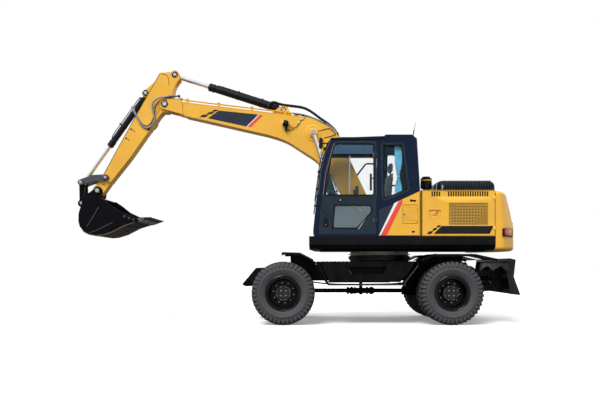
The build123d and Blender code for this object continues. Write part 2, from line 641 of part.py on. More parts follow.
# ---------------------------------------------------------------- upper frame
BRACKET_IN = BOOM_HALF + SIDE_GAP
BRACKET_OUT = BRACKET_IN + 34
BOTTOM_PLATE_Z = 1272
with BuildPart() as upper_frame:
    # centre section on the slew ring, then the deck and belly plates
    block((1080, DECK_REAR), (-420, 420), (DECK_UNDER_Z, 1440))
    upright((0, 0), RING_R - 20, RING_SPLIT_Z, DECK_UNDER_Z + 5)
    block((DECK_FRONT - 30, DECK_REAR), (-UPPER_HALF + 60, UPPER_HALF - 60), (1434, DECK_TOP))
    block((DECK_FRONT - 30, DECK_REAR), (-UPPER_HALF + 90, UPPER_HALF - 90),
        (BOTTOM_PLATE_Z, BOTTOM_PLATE_Z + 14))
    for x in (DECK_FRONT - 50, 600, -400, DECK_REAR):
        block((x, x + 20), (-UPPER_HALF + 90, UPPER_HALF - 90), (BOTTOM_PLATE_Z, 1440))
    for side in (LEFT, RIGHT):
        plate(
            [(760, 1430), (700, 1480), (575, 1490), (520, 1700), (440, 2000), (390, 2070), (210, 2070),
                (110, 1960), (-420, 1560), (-560, 1430)],
            *span(side, BRACKET_IN, BRACKET_OUT),
        )
        disc(BOOM_FOOT, 120, *span(side, BOOM_HALF + SEAT, BRACKET_OUT))
        # cheeks either side of the boom cylinder's base eye
        for cheek in ((BOOM_HALF + SIDE_GAP, BOOM_CYL_Y - CYL_EYE_HALF - SEAT),
                (BOOM_CYL_Y + CYL_EYE_HALF + SEAT, BOOM_CYL_Y + CYL_EYE_HALF + 28)):
            plate([(500, 1430), (570, 1600), (610, 1628), (670, 1628), (712, 1600), (800, 1430)],
                *span(side, *cheek))
keep(upper_frame.part, "upper_frame")

with BuildPart() as deck_skirts:
    for side in (LEFT, RIGHT):
        face = side * UPPER_HALF
        for outline in (
            [(face, DECK_TOP), (face - side * SKIRT_T, DECK_TOP), (face - side * SKIRT_T, 1343),
                (face - side * 82, 1270), (face - side * 70, 1262), (face, 1337)],
            [(face, DECK_TOP - 12), (face, DECK_TOP), (face - side * 60 + side * SEAT, DECK_TOP),
                (face - side * 60 + side * SEAT, DECK_TOP - 12)],
        ):
            with BuildSketch(Plane.YZ.offset(DECK_REAR)):
                with BuildLine():
                    Polyline(*outline, close=True)
                make_face()
            extrude(amount=SKIRT_FRONT - DECK_REAR)
    # lower lips cut away at the front
    plate([(SKIRT_FRONT + 2, 1303), (SKIRT_FRONT + 2, 1250), (SKIRT_FRONT - 148, 1250)],
          UPPER_HALF + 1, -UPPER_HALF - 1, mode=Mode.SUBTRACT)
keep(deck_skirts.part, "deck_skirts")

# ---------------------------------------------------------------- counterweight
CW_FRONT = DECK_REAR - SEAT
CW_TOP = 2225
LIFT_X, LIFT_R, LIFT_DEPTH = -2000, 16.5, 70
# Plan sections of the tail, bottom to top: height, end of the straight side, reach at the middle
TAIL_CORNER = 120
TAIL_SECTIONS = [(1240, 1950, TAIL_REACH), (1640, 1950, TAIL_REACH), (1940, 1925, 2293), (CW_TOP, 1905, 2203)]


def tail_plan(height, side_end, reach, grow=0.0):
    """Draws the tail's plan at that height, grown outward: straight sides and a round back."""
    with BuildSketch(Plane.XY.offset(height)) as plan:
        with BuildLine():
            Polyline((-side_end, UPPER_HALF), (CW_FRONT, UPPER_HALF), (CW_FRONT, -UPPER_HALF),
                (-side_end, -UPPER_HALF))
            ThreePointArc((-side_end, -UPPER_HALF), (-reach, 0), (-side_end, UPPER_HALF))
        make_face()
        fillet([v for v in plan.vertices() if v.X < CW_FRONT - 1], TAIL_CORNER)
        if grow:
            offset(amount=grow)
    return plan.sketch


with BuildPart() as counterweight:
    # upright behind the lamps, then leaning forward to the top, with its rear rims rounded
    for section in TAIL_SECTIONS:
        add(tail_plan(*section))
    loft(ruled=True)
    for rim in (counterweight.faces().sort_by(Axis.Z)[-1], counterweight.faces().sort_by(Axis.Z)[0]):
        fillet([edge for edge in rim.edges() if edge.center().X < CW_FRONT - 120 and edge.length > 700], 60)
    # threaded hole for the lifting eye
    upright((LIFT_X, 0), LIFT_R, CW_TOP - LIFT_DEPTH, CW_TOP + 1, mode=Mode.SUBTRACT)
keep(counterweight.part, "counterweight")

# ---------------------------------------------------------------- cab
DOOR_HINGE = (DOOR_REAR, UPPER_HALF + 9)
DOOR_HINGES = (1700, 2780)  # feet of the door's hinge knuckles
KNUCKLE_H = 70
CAB_SIDE = [(1190, CAB_BOTTOM), (1193, 1600), (1093, 2567), (976, 2995), (905, 3098), (28, 3128),
    (10, 3153), (-429, 3153), (-511, 3086), (-566, 2201), (-566, CAB_BOTTOM)]
DOOR_EDGE = [(150, 1500), (1110, 1500), (1118, 1640), (1022, 2540), (905, 2990), (850, 3055), (150, 3055)]
DOOR_WINDOW = [(205, 2156), (1020, 2156), (985, 2480), (862, 2960), (830, 2998), (205, 2998)]
DOOR_LOW_WINDOW = [(877, 1610), (846, 1984), (248, 1984), (240, 1880), (479, 1610)]
REAR_SIDE_WINDOW = [(42, 2975), (-254, 2975), (-346, 2255), (30, 2098)]
SIDE_PANEL = [(118, 1480), (118, 1905), (-40, 1975), (-566, 2222), (-566, 1480)]
SIDE_CABINET = [(130, 1500), (130, 1912), (-36, 1987), (-540, 2224), (-540, 1500)]
CABINET_DEEP = 85
RIGHT_WINDOW = [(60, 2160), (985, 2160), (880, 2900), (60, 2900)]
RIGHT_REAR_WINDOW = [(-112, 2944), (-246, 2944), (-328, 2255), (-112, 2164)]
HATCH = ((-275, -526), (1681, 1998))  # louvred filter hatch: X range, Z range
ROOF_HATCH = ((250, 750), (520, 1030))
WINDSCREEN_EDGE = 70


def glazed(outline, y_high, y_low, gap=0.0, mode=Mode.ADD):
    """A window outline with rounded corners, extruded between two widths; gap takes it in on every side."""
    with BuildSketch(side_plane(y_high)) as face:
        with BuildLine():
            Polyline(*outline, close=True)
        make_face()
        fillet(face.vertices(), 40)
        if gap:
            offset(amount=-gap, mode=Mode.REPLACE)
    extrude(face.sketch, amount=y_high - y_low, mode=mode)


def front_opening(gap, mode):
    """The windscreen's opening across the cab's front, from the lower sill to the roof edge."""
    plate([(1400, 1560 + gap), (1000, 1560 + gap), (700, 3040 - gap), (1400, 3040 - gap)],
          UPPER_HALF - WINDSCREEN_EDGE - gap, CAB_RIGHT + WINDSCREEN_EDGE + gap, mode=mode)


INNER_SIDE = [(1190 - CAB_WALL, CAB_BOTTOM + CAB_WALL), (1193 - CAB_WALL - 4, 1600),
    (1093 - CAB_WALL - 3, 2560), (976 - CAB_WALL, 2975), (880, 3098 - CAB_WALL - 10),
    (-400, 3153 - CAB_WALL - 10), (-470, 3050), (-566 + CAB_WALL, 2201),
    (-566 + CAB_WALL, CAB_BOTTOM + CAB_WALL)]
with BuildPart() as cab:
    plate(CAB_SIDE, UPPER_HALF, CAB_RIGHT)
    plate(INNER_SIDE, UPPER_HALF - CAB_WALL, CAB_RIGHT + CAB_WALL, mode=Mode.SUBTRACT)
    front_opening(0, Mode.SUBTRACT)
    cut_in = UPPER_HALF - CAB_WALL - 1
    plate(DOOR_EDGE, UPPER_HALF + 1, cut_in, mode=Mode.SUBTRACT)
    # shallow cabinet behind the side panel
    plate(SIDE_CABINET, cut_in + 1, UPPER_HALF - CABINET_DEEP - 12)
    plate(SIDE_PANEL, UPPER_HALF + 1, UPPER_HALF - CABINET_DEEP, mode=Mode.SUBTRACT)
    glazed(REAR_SIDE_WINDOW, UPPER_HALF + 1, cut_in, mode=Mode.SUBTRACT)
    for outline in (RIGHT_WINDOW, RIGHT_REAR_WINDOW):
        glazed(outline, CAB_RIGHT + CAB_WALL + 1, CAB_RIGHT - 1, mode=Mode.SUBTRACT)
    # rear window and roof hatch
    block((-600, -480), (CAB_RIGHT + 120, UPPER_HALF - 120), (2330, 2930), mode=Mode.SUBTRACT)
    block(ROOF_HATCH[0], ROOF_HATCH[1], (3040, 3200), mode=Mode.SUBTRACT)
    # hinge brackets above the door's knuckles
    for z in DOOR_HINGES:
        block((DOOR_REAR - 20, DOOR_REAR + 9), (UPPER_HALF - 1, UPPER_HALF + 20),
            (z + KNUCKLE_H + SEAT, z + KNUCKLE_H + 24))
keep(cab.part, "cab_shell")

GLASS_T = 8
with BuildPart() as cab_glass:
    glass_y = UPPER_HALF - CAB_WALL / 2
    glazed(REAR_SIDE_WINDOW, glass_y + GLASS_T / 2, glass_y - GLASS_T / 2, gap=SEAT)
    glass_y = CAB_RIGHT + CAB_WALL / 2
    for outline in (RIGHT_WINDOW, RIGHT_REAR_WINDOW):
        glazed(outline, glass_y + GLASS_T / 2, glass_y - GLASS_T / 2, gap=SEAT)
    # rear pane, which leans with the cab's back between (-566, 2201) and (-511, 3086)
    rear_line = [(-566 + 55 / 885 * (z - 2201) + 18, z) for z in (2330 + SEAT, 2930 - SEAT)]
    plate(rear_line + [(x + GLASS_T, z) for x, z in reversed(rear_line)],
        UPPER_HALF - 120 - SEAT, CAB_RIGHT + 120 + SEAT)
    roof_x, roof_y = ROOF_HATCH
    block((roof_x[0] + SEAT, roof_x[1] - SEAT), (roof_y[0] + SEAT, roof_y[1] - SEAT), (3070, 3100))
    # windscreen, a bent sheet just inside the front face
    front_line = [(1168, 1560 + SEAT), (1168, 1602), (1069, 2562), (954, 2985), (916, 3040 - SEAT)]
    plate(front_line + [(x - GLASS_T, z) for x, z in reversed(front_line)],
        UPPER_HALF - WINDSCREEN_EDGE - SEAT, CAB_RIGHT + WINDSCREEN_EDGE + SEAT)
keep(cab_glass.part, "cab_glass")

DOOR_GAP = 6
with BuildPart() as cab_door:
    with BuildSketch(side_plane(UPPER_HALF)):
        with BuildLine():
            Polyline(*DOOR_EDGE, close=True)
        make_face()
        offset(amount=-DOOR_GAP, kind=Kind.INTERSECTION, mode=Mode.REPLACE)
    extrude(amount=PANEL_T)
    glazed(DOOR_WINDOW, UPPER_HALF + 1, UPPER_HALF - PANEL_T - 1, mode=Mode.SUBTRACT)
    glazed(DOOR_LOW_WINDOW, UPPER_HALF + 1, UPPER_HALF - PANEL_T - 1, mode=Mode.SUBTRACT)
    # hinge knuckles standing out from the rear edge
    for z in DOOR_HINGES:
        block((DOOR_REAR, 190), (UPPER_HALF + 2, UPPER_HALF + 20), (z, z + KNUCKLE_H))
        block((160, 190), (UPPER_HALF - 1, UPPER_HALF + 3), (z, z + KNUCKLE_H))
        upright(DOOR_HINGE, 8, z, z + KNUCKLE_H)
keep(cab_door.part, "cab_door")

with BuildPart() as door_glass:
    glass_y = UPPER_HALF - PANEL_T / 2
    for outline in (DOOR_WINDOW, DOOR_LOW_WINDOW):
        glazed(outline, glass_y + GLASS_T / 2, glass_y - GLASS_T / 2, gap=SEAT)
keep(door_glass.part, "door_glass")

with BuildPart() as side_panel:
    with BuildSketch(side_plane(UPPER_HALF)):
        with BuildLine():
            Polyline(*SIDE_PANEL, close=True)
        make_face()
        offset(amount=-SEAT, kind=Kind.INTERSECTION, mode=Mode.REPLACE)
    extrude(amount=PANEL_T)
    block((HATCH[0][1], HATCH[0][0]), (UPPER_HALF - PANEL_T - 1, UPPER_HALF + 1), HATCH[1],
        mode=Mode.SUBTRACT)
keep(side_panel.part, "cab_side_panel")

HATCH_HINGE = (HATCH[0][1] + 4, UPPER_HALF + 8)
with BuildPart() as filter_hatch:
    block((HATCH[0][1] + 6, HATCH[0][0] - 6), (UPPER_HALF - 26, UPPER_HALF),
        (HATCH[1][0] + 6, HATCH[1][1] - 6))
    for z in (HATCH[1][0] + 40, HATCH[1][1] - 80):
        upright(HATCH_HINGE, 7, z, z + 40)
        block((HATCH_HINGE[0] - 4, HATCH_HINGE[0] + 30), (UPPER_HALF - 1, UPPER_HALF + 9), (z, z + 40))
keep(filter_hatch.part, "filter_hatch")

# ---------------------------------------------------------------- cab interior
FLOOR_Z = CAB_BOTTOM + CAB_WALL
SEAT_Y = (CAB_RIGHT + UPPER_HALF) / 2
with BuildPart() as seat_base:
    block((-60, 380), (SEAT_Y - 200, SEAT_Y + 200), (FLOOR_Z + SEAT, 1880))
    # armrest consoles with lever stalks
    for side in (LEFT, RIGHT):
        y = SEAT_Y + side * 290
        block((-40, 520), (y - 60, y + 60), (1990, 2090))
        block((60, 180), (y - 40, y + 40), (FLOOR_Z + SEAT, 1995))
        upright((470, y), 16, 2085, 2250)
        upright((470, y), 28, 2190, 2290)
keep(seat_base.part, "seat_base")

with BuildPart() as seat:
    block((-90, 430), (SEAT_Y - 220, SEAT_Y + 220), (1880 + SEAT, 2010))
    plate([(-90, 2010), (20, 2005), (-60, 2560), (-150, 2560), (-170, 2010)], SEAT_Y + 210, SEAT_Y - 210)
    plate([(-70, 2555), (-75, 2740), (-160, 2740), (-150, 2555)], SEAT_Y + 125, SEAT_Y - 125)
keep(seat.part, "driver_seat")

with BuildPart() as steering:
    plate([(760, FLOOR_Z + SEAT), (980, FLOOR_Z + SEAT), (860, 2140), (800, 2140)], SEAT_Y + 50, SEAT_Y - 50)
    with BuildSketch(Plane((790, SEAT_Y, 2180), x_dir=(0, 1, 0), z_dir=(-0.5, 0, 0.866))):
        Circle(185)
        Circle(155, mode=Mode.SUBTRACT)
        Rectangle(330, 40)
        Circle(50)
    extrude(amount=-26)
    with BuildSketch(Plane((790, SEAT_Y, 2180), x_dir=(0, 1, 0), z_dir=(-0.5, 0, 0.866)).offset(-90)):
        Circle(34)
    extrude(amount=80)
keep(steering.part, "steering_column")

with BuildPart() as curtain:
    block((-275, -145), (UPPER_HALF - 78, UPPER_HALF - CAB_WALL - 0.5), (2190, 2990))
keep(curtain.part, "curtain")

# ---------------------------------------------------------------- engine bay
BAY_REAR = DECK_REAR + 2
with BuildPart() as bay_frame:
    inner = UPPER_HALF - PANEL_T - 0.5
    block((BAY_REAR, BAY_FRONT), (-inner, inner), (BODY_TOP - 30, BODY_TOP))
    block((BAY_REAR + 60, BAY_FRONT - 260), (-880, 880), (BODY_TOP - 40, BODY_TOP + 1), mode=Mode.SUBTRACT)
    block((BAY_REAR, BAY_REAR + 20), (-inner, inner), (DECK_TOP + SEAT, BODY_TOP - 5))
    block((BAY_FRONT - 20, BAY_FRONT), (-inner, inner), (DECK_TOP + SEAT, BODY_TOP - 5))
keep(bay_frame.part, "bay_frame")

with BuildPart() as engine:
    block((-1650, -850), (-450, 450), (DECK_TOP + SEAT, 2080))
keep(engine.part, "engine_block")

GRILLE = ((-1687, -1035), (1658, 2029))
DOOR_X = (BAY_REAR + 4, BAY_FRONT - 4)
DOOR_Z = (DECK_TOP + 4, BODY_TOP - 2)
BAY_HINGE = (DOOR_X[0] - 1, UPPER_HALF + 10)
for side_name, side in SIDES.items():
    with BuildPart() as bay_door:
        y_out, y_in = side * UPPER_HALF, side * (UPPER_HALF - PANEL_T)
        block(DOOR_X, sorted((y_in, y_out)), DOOR_Z)
        block(GRILLE[0], sorted((side * (UPPER_HALF - PANEL_T - 1), side * (UPPER_HALF - 5))), GRILLE[1],
            mode=Mode.SUBTRACT)
        for z in (1580, 2080):
            upright((BAY_HINGE[0], side * BAY_HINGE[1]), 9, z, z + 60)
            block((BAY_HINGE[0], BAY_HINGE[0] + 40), span(side, UPPER_HALF - 1, UPPER_HALF + 9), (z, z + 60))
    keep(bay_door.part, f"{side_name}_bay_door")

HOOD = ((BAY_REAR - 40, -848), 1100, 2412)
HOOD_HINGE = (HOOD[0][0] - 18, BODY_TOP + 18)
with BuildPart() as hood:
    block(HOOD[0], (-HOOD[1], HOOD[1]), (BODY_TOP + SEAT, HOOD[2]))
    fillet(hood.edges().filter_by(Axis.Z), 120)
    fillet(hood.faces().sort_by(Axis.Z)[-1].edges(), 100)
    offset(amount=-16, openings=hood.faces().sort_by(Axis.Z)[0])
    # hinge eyes along the rear edge
    for y in (-500, 500):
        disc(HOOD_HINGE, 12, y + 50, y - 50)
        block((HOOD_HINGE[0] - 4, HOOD[0][0] + 30), (y - 50, y + 50), (BODY_TOP + 12, BODY_TOP + 30))
keep(hood.part, "engine_hood")

with BuildPart() as precleaner:
    centre = (-735, 760)
    upright(centre, 60, BODY_TOP + SEAT, 2310)
    upright(centre, 95, 2305, 2480)
    upright(centre, 70, 2475, 2506)
keep(precleaner.part, "air_precleaner")

# Right-hand boxes. Columns: X range, top
RIGHT_BOXES = [((-560, -60), BODY_TOP), ((-45, 620), 2150), ((635, 1150), 1850)]
with BuildPart() as tanks:
    for x_range, top in RIGHT_BOXES:
        block(x_range, (-UPPER_HALF, -480), (DECK_TOP + SEAT, top))
keep(tanks.part, "right_tanks")

RAIL_R = 17
with BuildPart() as handrails:
    # right-hand rail: up from the front box, level over the tank and down to it
    rail_y = -1120
    pipe_path([(700, rail_y, 1850 + SEAT), (700, rail_y, 2060), (600, rail_y, 2400), (160, rail_y, 2990),
        (-40, rail_y, 2990), (-40, rail_y, 2150 + SEAT)], RAIL_R, 90)
    # rail along the rear deck
    pipe_path([(-200, rail_y, BODY_TOP + SEAT), (-200, rail_y, 2560), (-520, rail_y, 2560),
        (-520, rail_y, BODY_TOP + SEAT)], RAIL_R, 90)
keep(handrails.part, "handrails")

with BuildPart() as mirrors:
    # right mirror, hung on the rear leg of its rail
    block((38, 76), (rail_y - 90, rail_y - 30), (2470, 2800))
    block((-40 + RAIL_R + SEAT, 60), (rail_y - 60, rail_y + 8), (2700, 2716))
    # two work lamps on the cab's front pillar
    for z in (2975, 3060):
        with BuildSketch(side_plane(UPPER_HALF - 10)):
            with Locations((1075, z)):
                RectangleRounded(60, 78, 20)
        extrude(amount=120)
    block((970, 1060), (UPPER_HALF - 60, UPPER_HALF - 40), (3005, 3025))
keep(mirrors.part, "mirrors")

LAMP_SPAN = (-2170, -1925)
with BuildPart() as lamps:
    # each lamp wraps round the corner of the tail
    for side in (LEFT, RIGHT):
        with BuildSketch(Plane.XY.offset(1474)):
            add(tail_plan(0, 1950, TAIL_REACH, 16))
            add(tail_plan(0, 1950, TAIL_REACH, SEAT), mode=Mode.SUBTRACT)
            with Locations((sum(LAMP_SPAN) / 2, side * 1040)):
                Rectangle(LAMP_SPAN[1] - LAMP_SPAN[0], 580, mode=Mode.INTERSECT)
        extrude(amount=128)
keep(lamps.part, "tail_lamps")

# ---------------------------------------------------------------- boom services
def boom_top(x):
    """The height of the boom's straight top face at that X."""
    (x_low, z_low), (x_high, z_high) = BOOM_TOP[1], BOOM_TOP[0]
    return z_low + (x - x_low) * (z_high - z_low) / (x_high - x_low)


PIPE_RUN = (1560, 3500)
with BuildPart() as boom_pipes:
    for y in (114, 142):
        pipe_path([(x, y, boom_top(x) + 40) for x in PIPE_RUN] + [(3616, y, boom_top(3500) + 96)], 10, 60)
    for x in (1700, 2300, 2900, 3460):
        block((x - 20, x + 20), (100, 156), (boom_top(x + 20) + SEAT, boom_top(x) + 62))
keep(boom_pipes.part, "boom_pipes")

with BuildPart() as boom_lamp:
    with BuildSketch(side_plane(BOOM_HALF + 90)):
        with Locations((1690, 3530)):
            Circle(52)
    extrude(amount=60)
    block((1660, 1700), (BOOM_HALF + SEAT, BOOM_HALF + 60), (3400, 3520))
keep(boom_lamp.part, "boom_lamp")

# ---------------------------------------------------------------- export
boxes = [piece.bounding_box() for piece in pieces.values()]
ORIGIN_X = (min(box.min.X for box in boxes) + max(box.max.X for box in boxes)) / 2
for name, piece in pieces.items():
    moved = piece.moved(Location((-ORIGIN_X, 0, 0)))
    moved.label = name
    export_step(moved, f"parts/{name}.step")
print("pieces", len(pieces), "origin under", round(ORIGIN_X, 3))
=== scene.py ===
"""Looks of a wheeled excavator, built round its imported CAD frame.

Sizes of the sub-assemblies are machine millimetres: X forward from the slew axis, Y to the left, Z up
from the ground. row() turns them into the frame's metres.
"""

import json
import logging
import math
from dataclasses import dataclass
from enum import Enum
from typing import Callable, Iterable, Optional, Sequence

import bmesh
import bpy
from mathutils import Matrix, Vector


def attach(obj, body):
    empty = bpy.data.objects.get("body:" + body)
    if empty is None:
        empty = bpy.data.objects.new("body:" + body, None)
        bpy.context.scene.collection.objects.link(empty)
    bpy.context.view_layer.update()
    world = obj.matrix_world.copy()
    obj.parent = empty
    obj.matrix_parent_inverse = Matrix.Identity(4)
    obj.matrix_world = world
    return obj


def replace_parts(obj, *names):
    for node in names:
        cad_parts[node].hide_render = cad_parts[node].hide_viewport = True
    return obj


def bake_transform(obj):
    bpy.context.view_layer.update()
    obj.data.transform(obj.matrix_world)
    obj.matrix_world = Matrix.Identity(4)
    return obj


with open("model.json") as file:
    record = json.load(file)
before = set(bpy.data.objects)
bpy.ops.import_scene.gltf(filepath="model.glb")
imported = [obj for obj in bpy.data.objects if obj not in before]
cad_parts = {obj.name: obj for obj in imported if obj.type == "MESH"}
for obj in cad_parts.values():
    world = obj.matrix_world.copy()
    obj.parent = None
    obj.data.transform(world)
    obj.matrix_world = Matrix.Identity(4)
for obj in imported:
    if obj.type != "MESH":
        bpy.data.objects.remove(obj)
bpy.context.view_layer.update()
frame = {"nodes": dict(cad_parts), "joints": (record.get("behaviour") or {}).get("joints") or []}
LOG = logging.getLogger("excavator")
SLEW_X: float = next(joint for joint in frame["joints"] if joint["name"] == "slew")["pos_m"][0]
LEFT, RIGHT = 1, -1
SIDES = (("left", LEFT), ("right", RIGHT))
AXLES = {"front": 1700.0, "rear": -1100.0}
WHEEL_Y, WHEEL_Z = 935.0, 527.0
Point = tuple[float, float]
Triple = tuple[float, float, float]
Colour = tuple[float, float, float]


def row(x: float, y: float, z: float) -> Vector:
    """Turns machine millimetres into a point of the frame.

    Args:
        x: Distance forward of the slew axis.
        y: Distance to the left of the middle plane.
        z: Height over the ground.

    Returns:
        The point in the frame's metres.
    """
    return Vector((x / 1000 + SLEW_X, y / 1000, z / 1000))


def placed(name: str, data: Optional[bpy.types.ID]) -> bpy.types.Object:
    """Adds an object to the scene, at the origin."""
    made = bpy.data.objects.new(name, data)
    bpy.context.scene.collection.objects.link(made)
    return made


def evaluated(holder: bpy.types.Object) -> bpy.types.Mesh:
    """A plain mesh of an object with its modifiers applied."""
    bpy.context.view_layer.update()
    return bpy.data.meshes.new_from_object(holder.evaluated_get(bpy.context.evaluated_depsgraph_get()))


def discard(*holders: bpy.types.Object) -> None:
    """Removes helper objects and their meshes."""
    for holder in holders:
        mesh = holder.data
        bpy.data.objects.remove(holder)
        bpy.data.meshes.remove(mesh)


def mirrored(mesh: bpy.types.Mesh) -> bpy.types.Mesh:
    """Turns a mesh over to the other side of the middle plane."""
    mesh.transform(Matrix.Scale(-1, 4, (0, 1, 0)))
    mesh.flip_normals()
    return mesh


# ---- finishes
class Nodes:
    """A node tree, with short calls for adding and joining its nodes."""

    def __init__(self, tree: bpy.types.NodeTree) -> None:
        """Takes the tree to build in."""
        self.tree = tree

    def node(self, kind: str, **values: object) -> bpy.types.Node:
        """Adds a node and sets its properties.

        Args:
            kind: The node's type name.
            **values: Properties of the node itself.

        Returns:
            The new node.
        """
        made = self.tree.nodes.new(kind)
        for key, value in values.items():
            setattr(made, key, value)
        return made

    def link(self, source: bpy.types.NodeSocket, target: bpy.types.NodeSocket) -> None:
        """Joins an output to an input."""
        self.tree.links.new(source, target)

    def math(self, operation: str, first: object, second: object = 0.0) -> bpy.types.NodeSocket:
        """Combines two values, each a socket or a number."""
        node = self.node("ShaderNodeMath", operation=operation)
        for socket, value in zip(node.inputs, (first, second)):
            if isinstance(value, (int, float)):
                socket.default_value = value
            else:
                self.link(value, socket)
        return node.outputs[0]

    def times(self, first: object, second: object) -> bpy.types.NodeSocket:
        """Multiplies two values, each a socket or a number."""
        return self.math("MULTIPLY", first, second)


class Graph(Nodes):
    """A material's node tree, with short calls for the nodes that the finishes share."""

    def __init__(self, name: str) -> None:
        """Starts an empty material of that name."""
        self.material = bpy.data.materials.new(name)
        self.material.use_nodes = True
        super().__init__(self.material.node_tree)
        self.tree.nodes.clear()
        self.output = self.node("ShaderNodeOutputMaterial")
        self.shader = self.node("ShaderNodeBsdfPrincipled")
        self.link(self.shader.outputs["BSDF"], self.output.inputs["Surface"])
        self.place = self.node("ShaderNodeTexCoord").outputs["Object"]

    def put(self, name: str, value: object) -> None:
        """Sets one of the shader's inputs, from a socket or to a constant."""
        if isinstance(value, bpy.types.NodeSocket):
            self.link(value, self.shader.inputs[name])
        else:
            self.shader.inputs[name].default_value = value

    def noise(self, scale: float, detail: float = 4.0, stretch: Triple = (1, 1, 1)) -> bpy.types.NodeSocket:
        """Adds noise over the piece.

        Args:
            scale: Features per metre, roughly.
            detail: Octaves of finer noise.
            stretch: Scale along each axis, for streaks.

        Returns:
            The noise's factor.
        """
        mapping = self.node("ShaderNodeMapping")
        mapping.inputs["Scale"].default_value = stretch
        self.link(self.place, mapping.inputs["Vector"])
        noise = self.node("ShaderNodeTexNoise")
        noise.inputs["Scale"].default_value = scale
        noise.inputs["Detail"].default_value = detail
        self.link(mapping.outputs["Vector"], noise.inputs["Vector"])
        return noise.outputs["Fac"]

    def ramp(self, source: bpy.types.NodeSocket, low: float, high: float, start: float = 0.0,
             end: float = 1.0) -> bpy.types.NodeSocket:
        """Maps a value range to another, clamped.

        Args:
            source: The value.
            low: The value that gives start.
            high: The value that gives end.
            start: Result at low.
            end: Result at high.

        Returns:
            The mapped value's socket.
        """
        node = self.node("ShaderNodeMapRange")
        self.link(source, node.inputs["Value"])
        for key, value in zip(("From Min", "From Max", "To Min", "To Max"), (low, high, start, end)):
            node.inputs[key].default_value = value
        return node.outputs["Result"]

    def mix(self, factor: bpy.types.NodeSocket, first: object, second: object) -> bpy.types.NodeSocket:
        """Mixes two colours, each a socket or an RGB triple."""
        node = self.node("ShaderNodeMix", data_type="RGBA")
        self.link(factor, node.inputs["Factor"])
        for socket, value in zip((node.inputs[6], node.inputs[7]), (first, second)):
            if isinstance(value, tuple):
                socket.default_value = (*value, 1.0)
            else:
                self.link(value, socket)
        return node.outputs[2]

    def bump(self, height: bpy.types.NodeSocket, strength: float, distance: float) -> None:
        """Gives the shader a bump from a height."""
        node = self.node("ShaderNodeBump")
        node.inputs["Strength"].default_value = strength
        node.inputs["Distance"].default_value = distance
        self.link(height, node.inputs["Height"])
        self.put("Normal", node.outputs["Normal"])

    def part(self, axis: str) -> bpy.types.NodeSocket:
        """One coordinate of each point, in the frame's metres."""
        split = self.node("ShaderNodeSeparateXYZ")
        self.link(self.place, split.inputs["Vector"])
        return split.outputs[axis]

    def edges(self, radius: float) -> bpy.types.NodeSocket:
        """Finds outer edges, for wear.

        Args:
            radius: Width of the worn edge in metres.

        Returns:
            A factor that is 1 on edges.
        """
        soft = self.node("ShaderNodeBevel", samples=4)
        soft.inputs["Radius"].default_value = radius
        plain = self.node("ShaderNodeNewGeometry")
        dot = self.node("ShaderNodeVectorMath", operation="DOT_PRODUCT")
        self.link(soft.outputs["Normal"], dot.inputs[0])
        self.link(plain.outputs["Normal"], dot.inputs[1])
        return self.ramp(dot.outputs["Value"], 0.995, 0.9)


DUST: Colour = (0.30, 0.26, 0.20)


def shaded(colour: Colour, share: float, lift: float = 0.0) -> Colour:
    """A colour made lighter or darker by a share of itself, and lifted a little."""
    return tuple(min(1.0, part * share + lift) for part in colour)


@dataclass(frozen=True)
class Paint:
    """Sprayed machine paint with orange peel, faint fading and dust that thickens towards the ground."""

    name: str
    colour: Colour
    roughness: float = 0.38
    fade: float = 0.10
    dust: float = 0.12
    peel: float = 0.05
    coat: float = 0.05
    specular: float = 0.25

    def make(self) -> bpy.types.Material:
        """Builds the material."""
        graph = Graph(self.name)
        cloudy = graph.ramp(graph.noise(1.6, 5), 0.35, 0.7)
        body = graph.mix(cloudy, shaded(self.colour, 1 - self.fade),
                         shaded(self.colour, 1 + self.fade, 0.0005))
        low = graph.ramp(graph.part("Z"), 1.4, 0.2)
        streaks = graph.ramp(graph.noise(9, 6, (1, 1, 0.35)), 0.45, 0.75)
        dusty = graph.times(graph.times(low, streaks), self.dust * 3)
        film = graph.times(graph.ramp(graph.noise(5, 6), 0.5, 0.8), self.dust)
        graph.put("Base Color", graph.mix(graph.math("MAXIMUM", dusty, film), body, DUST))
        rough = graph.ramp(graph.noise(14, 3), 0.3, 0.7, self.roughness - 0.05, self.roughness + 0.09)
        graph.put("Roughness", rough)
        graph.put("Coat Weight", self.coat)
        graph.put("Coat Roughness", 0.15)
        graph.put("Specular IOR Level", self.specular)
        graph.bump(graph.noise(320, 2), self.peel, 0.001)
        return graph.material


@dataclass(frozen=True)
class WornSteel:
    """Black-painted steel that digging has rubbed bright along its edges and scratched elsewhere."""

    name: str
    colour: Colour
    bare: Colour = (0.16, 0.155, 0.15)
    wear: float = 0.4
    roughness: float = 0.5
    specular: float = 0.2

    def make(self) -> bpy.types.Material:
        """Builds the material."""
        graph = Graph(self.name)
        scratches = graph.ramp(graph.noise(40, 8, (1, 1, 4)), 0.56, 0.7)
        rubbed = graph.times(graph.edges(0.006), graph.ramp(graph.noise(18, 6), 0.4, 0.62))
        worn = graph.math("MAXIMUM", rubbed, graph.times(scratches, 0.25))
        worn = graph.times(worn, self.wear)
        patches = graph.ramp(graph.noise(4, 6), 0.35, 0.7)
        patchy = graph.mix(patches, self.colour, shaded(self.colour, 1.4, 0.001))
        graph.put("Base Color", graph.mix(worn, patchy, self.bare))
        rough = graph.ramp(graph.noise(22, 5), 0.3, 0.7, self.roughness - 0.08, self.roughness + 0.12)
        graph.put("Roughness", rough)
        graph.put("Specular IOR Level", self.specular)
        graph.put("Metallic", graph.times(worn, 0.7))
        graph.bump(graph.noise(90, 6), 0.12, 0.002)
        return graph.material


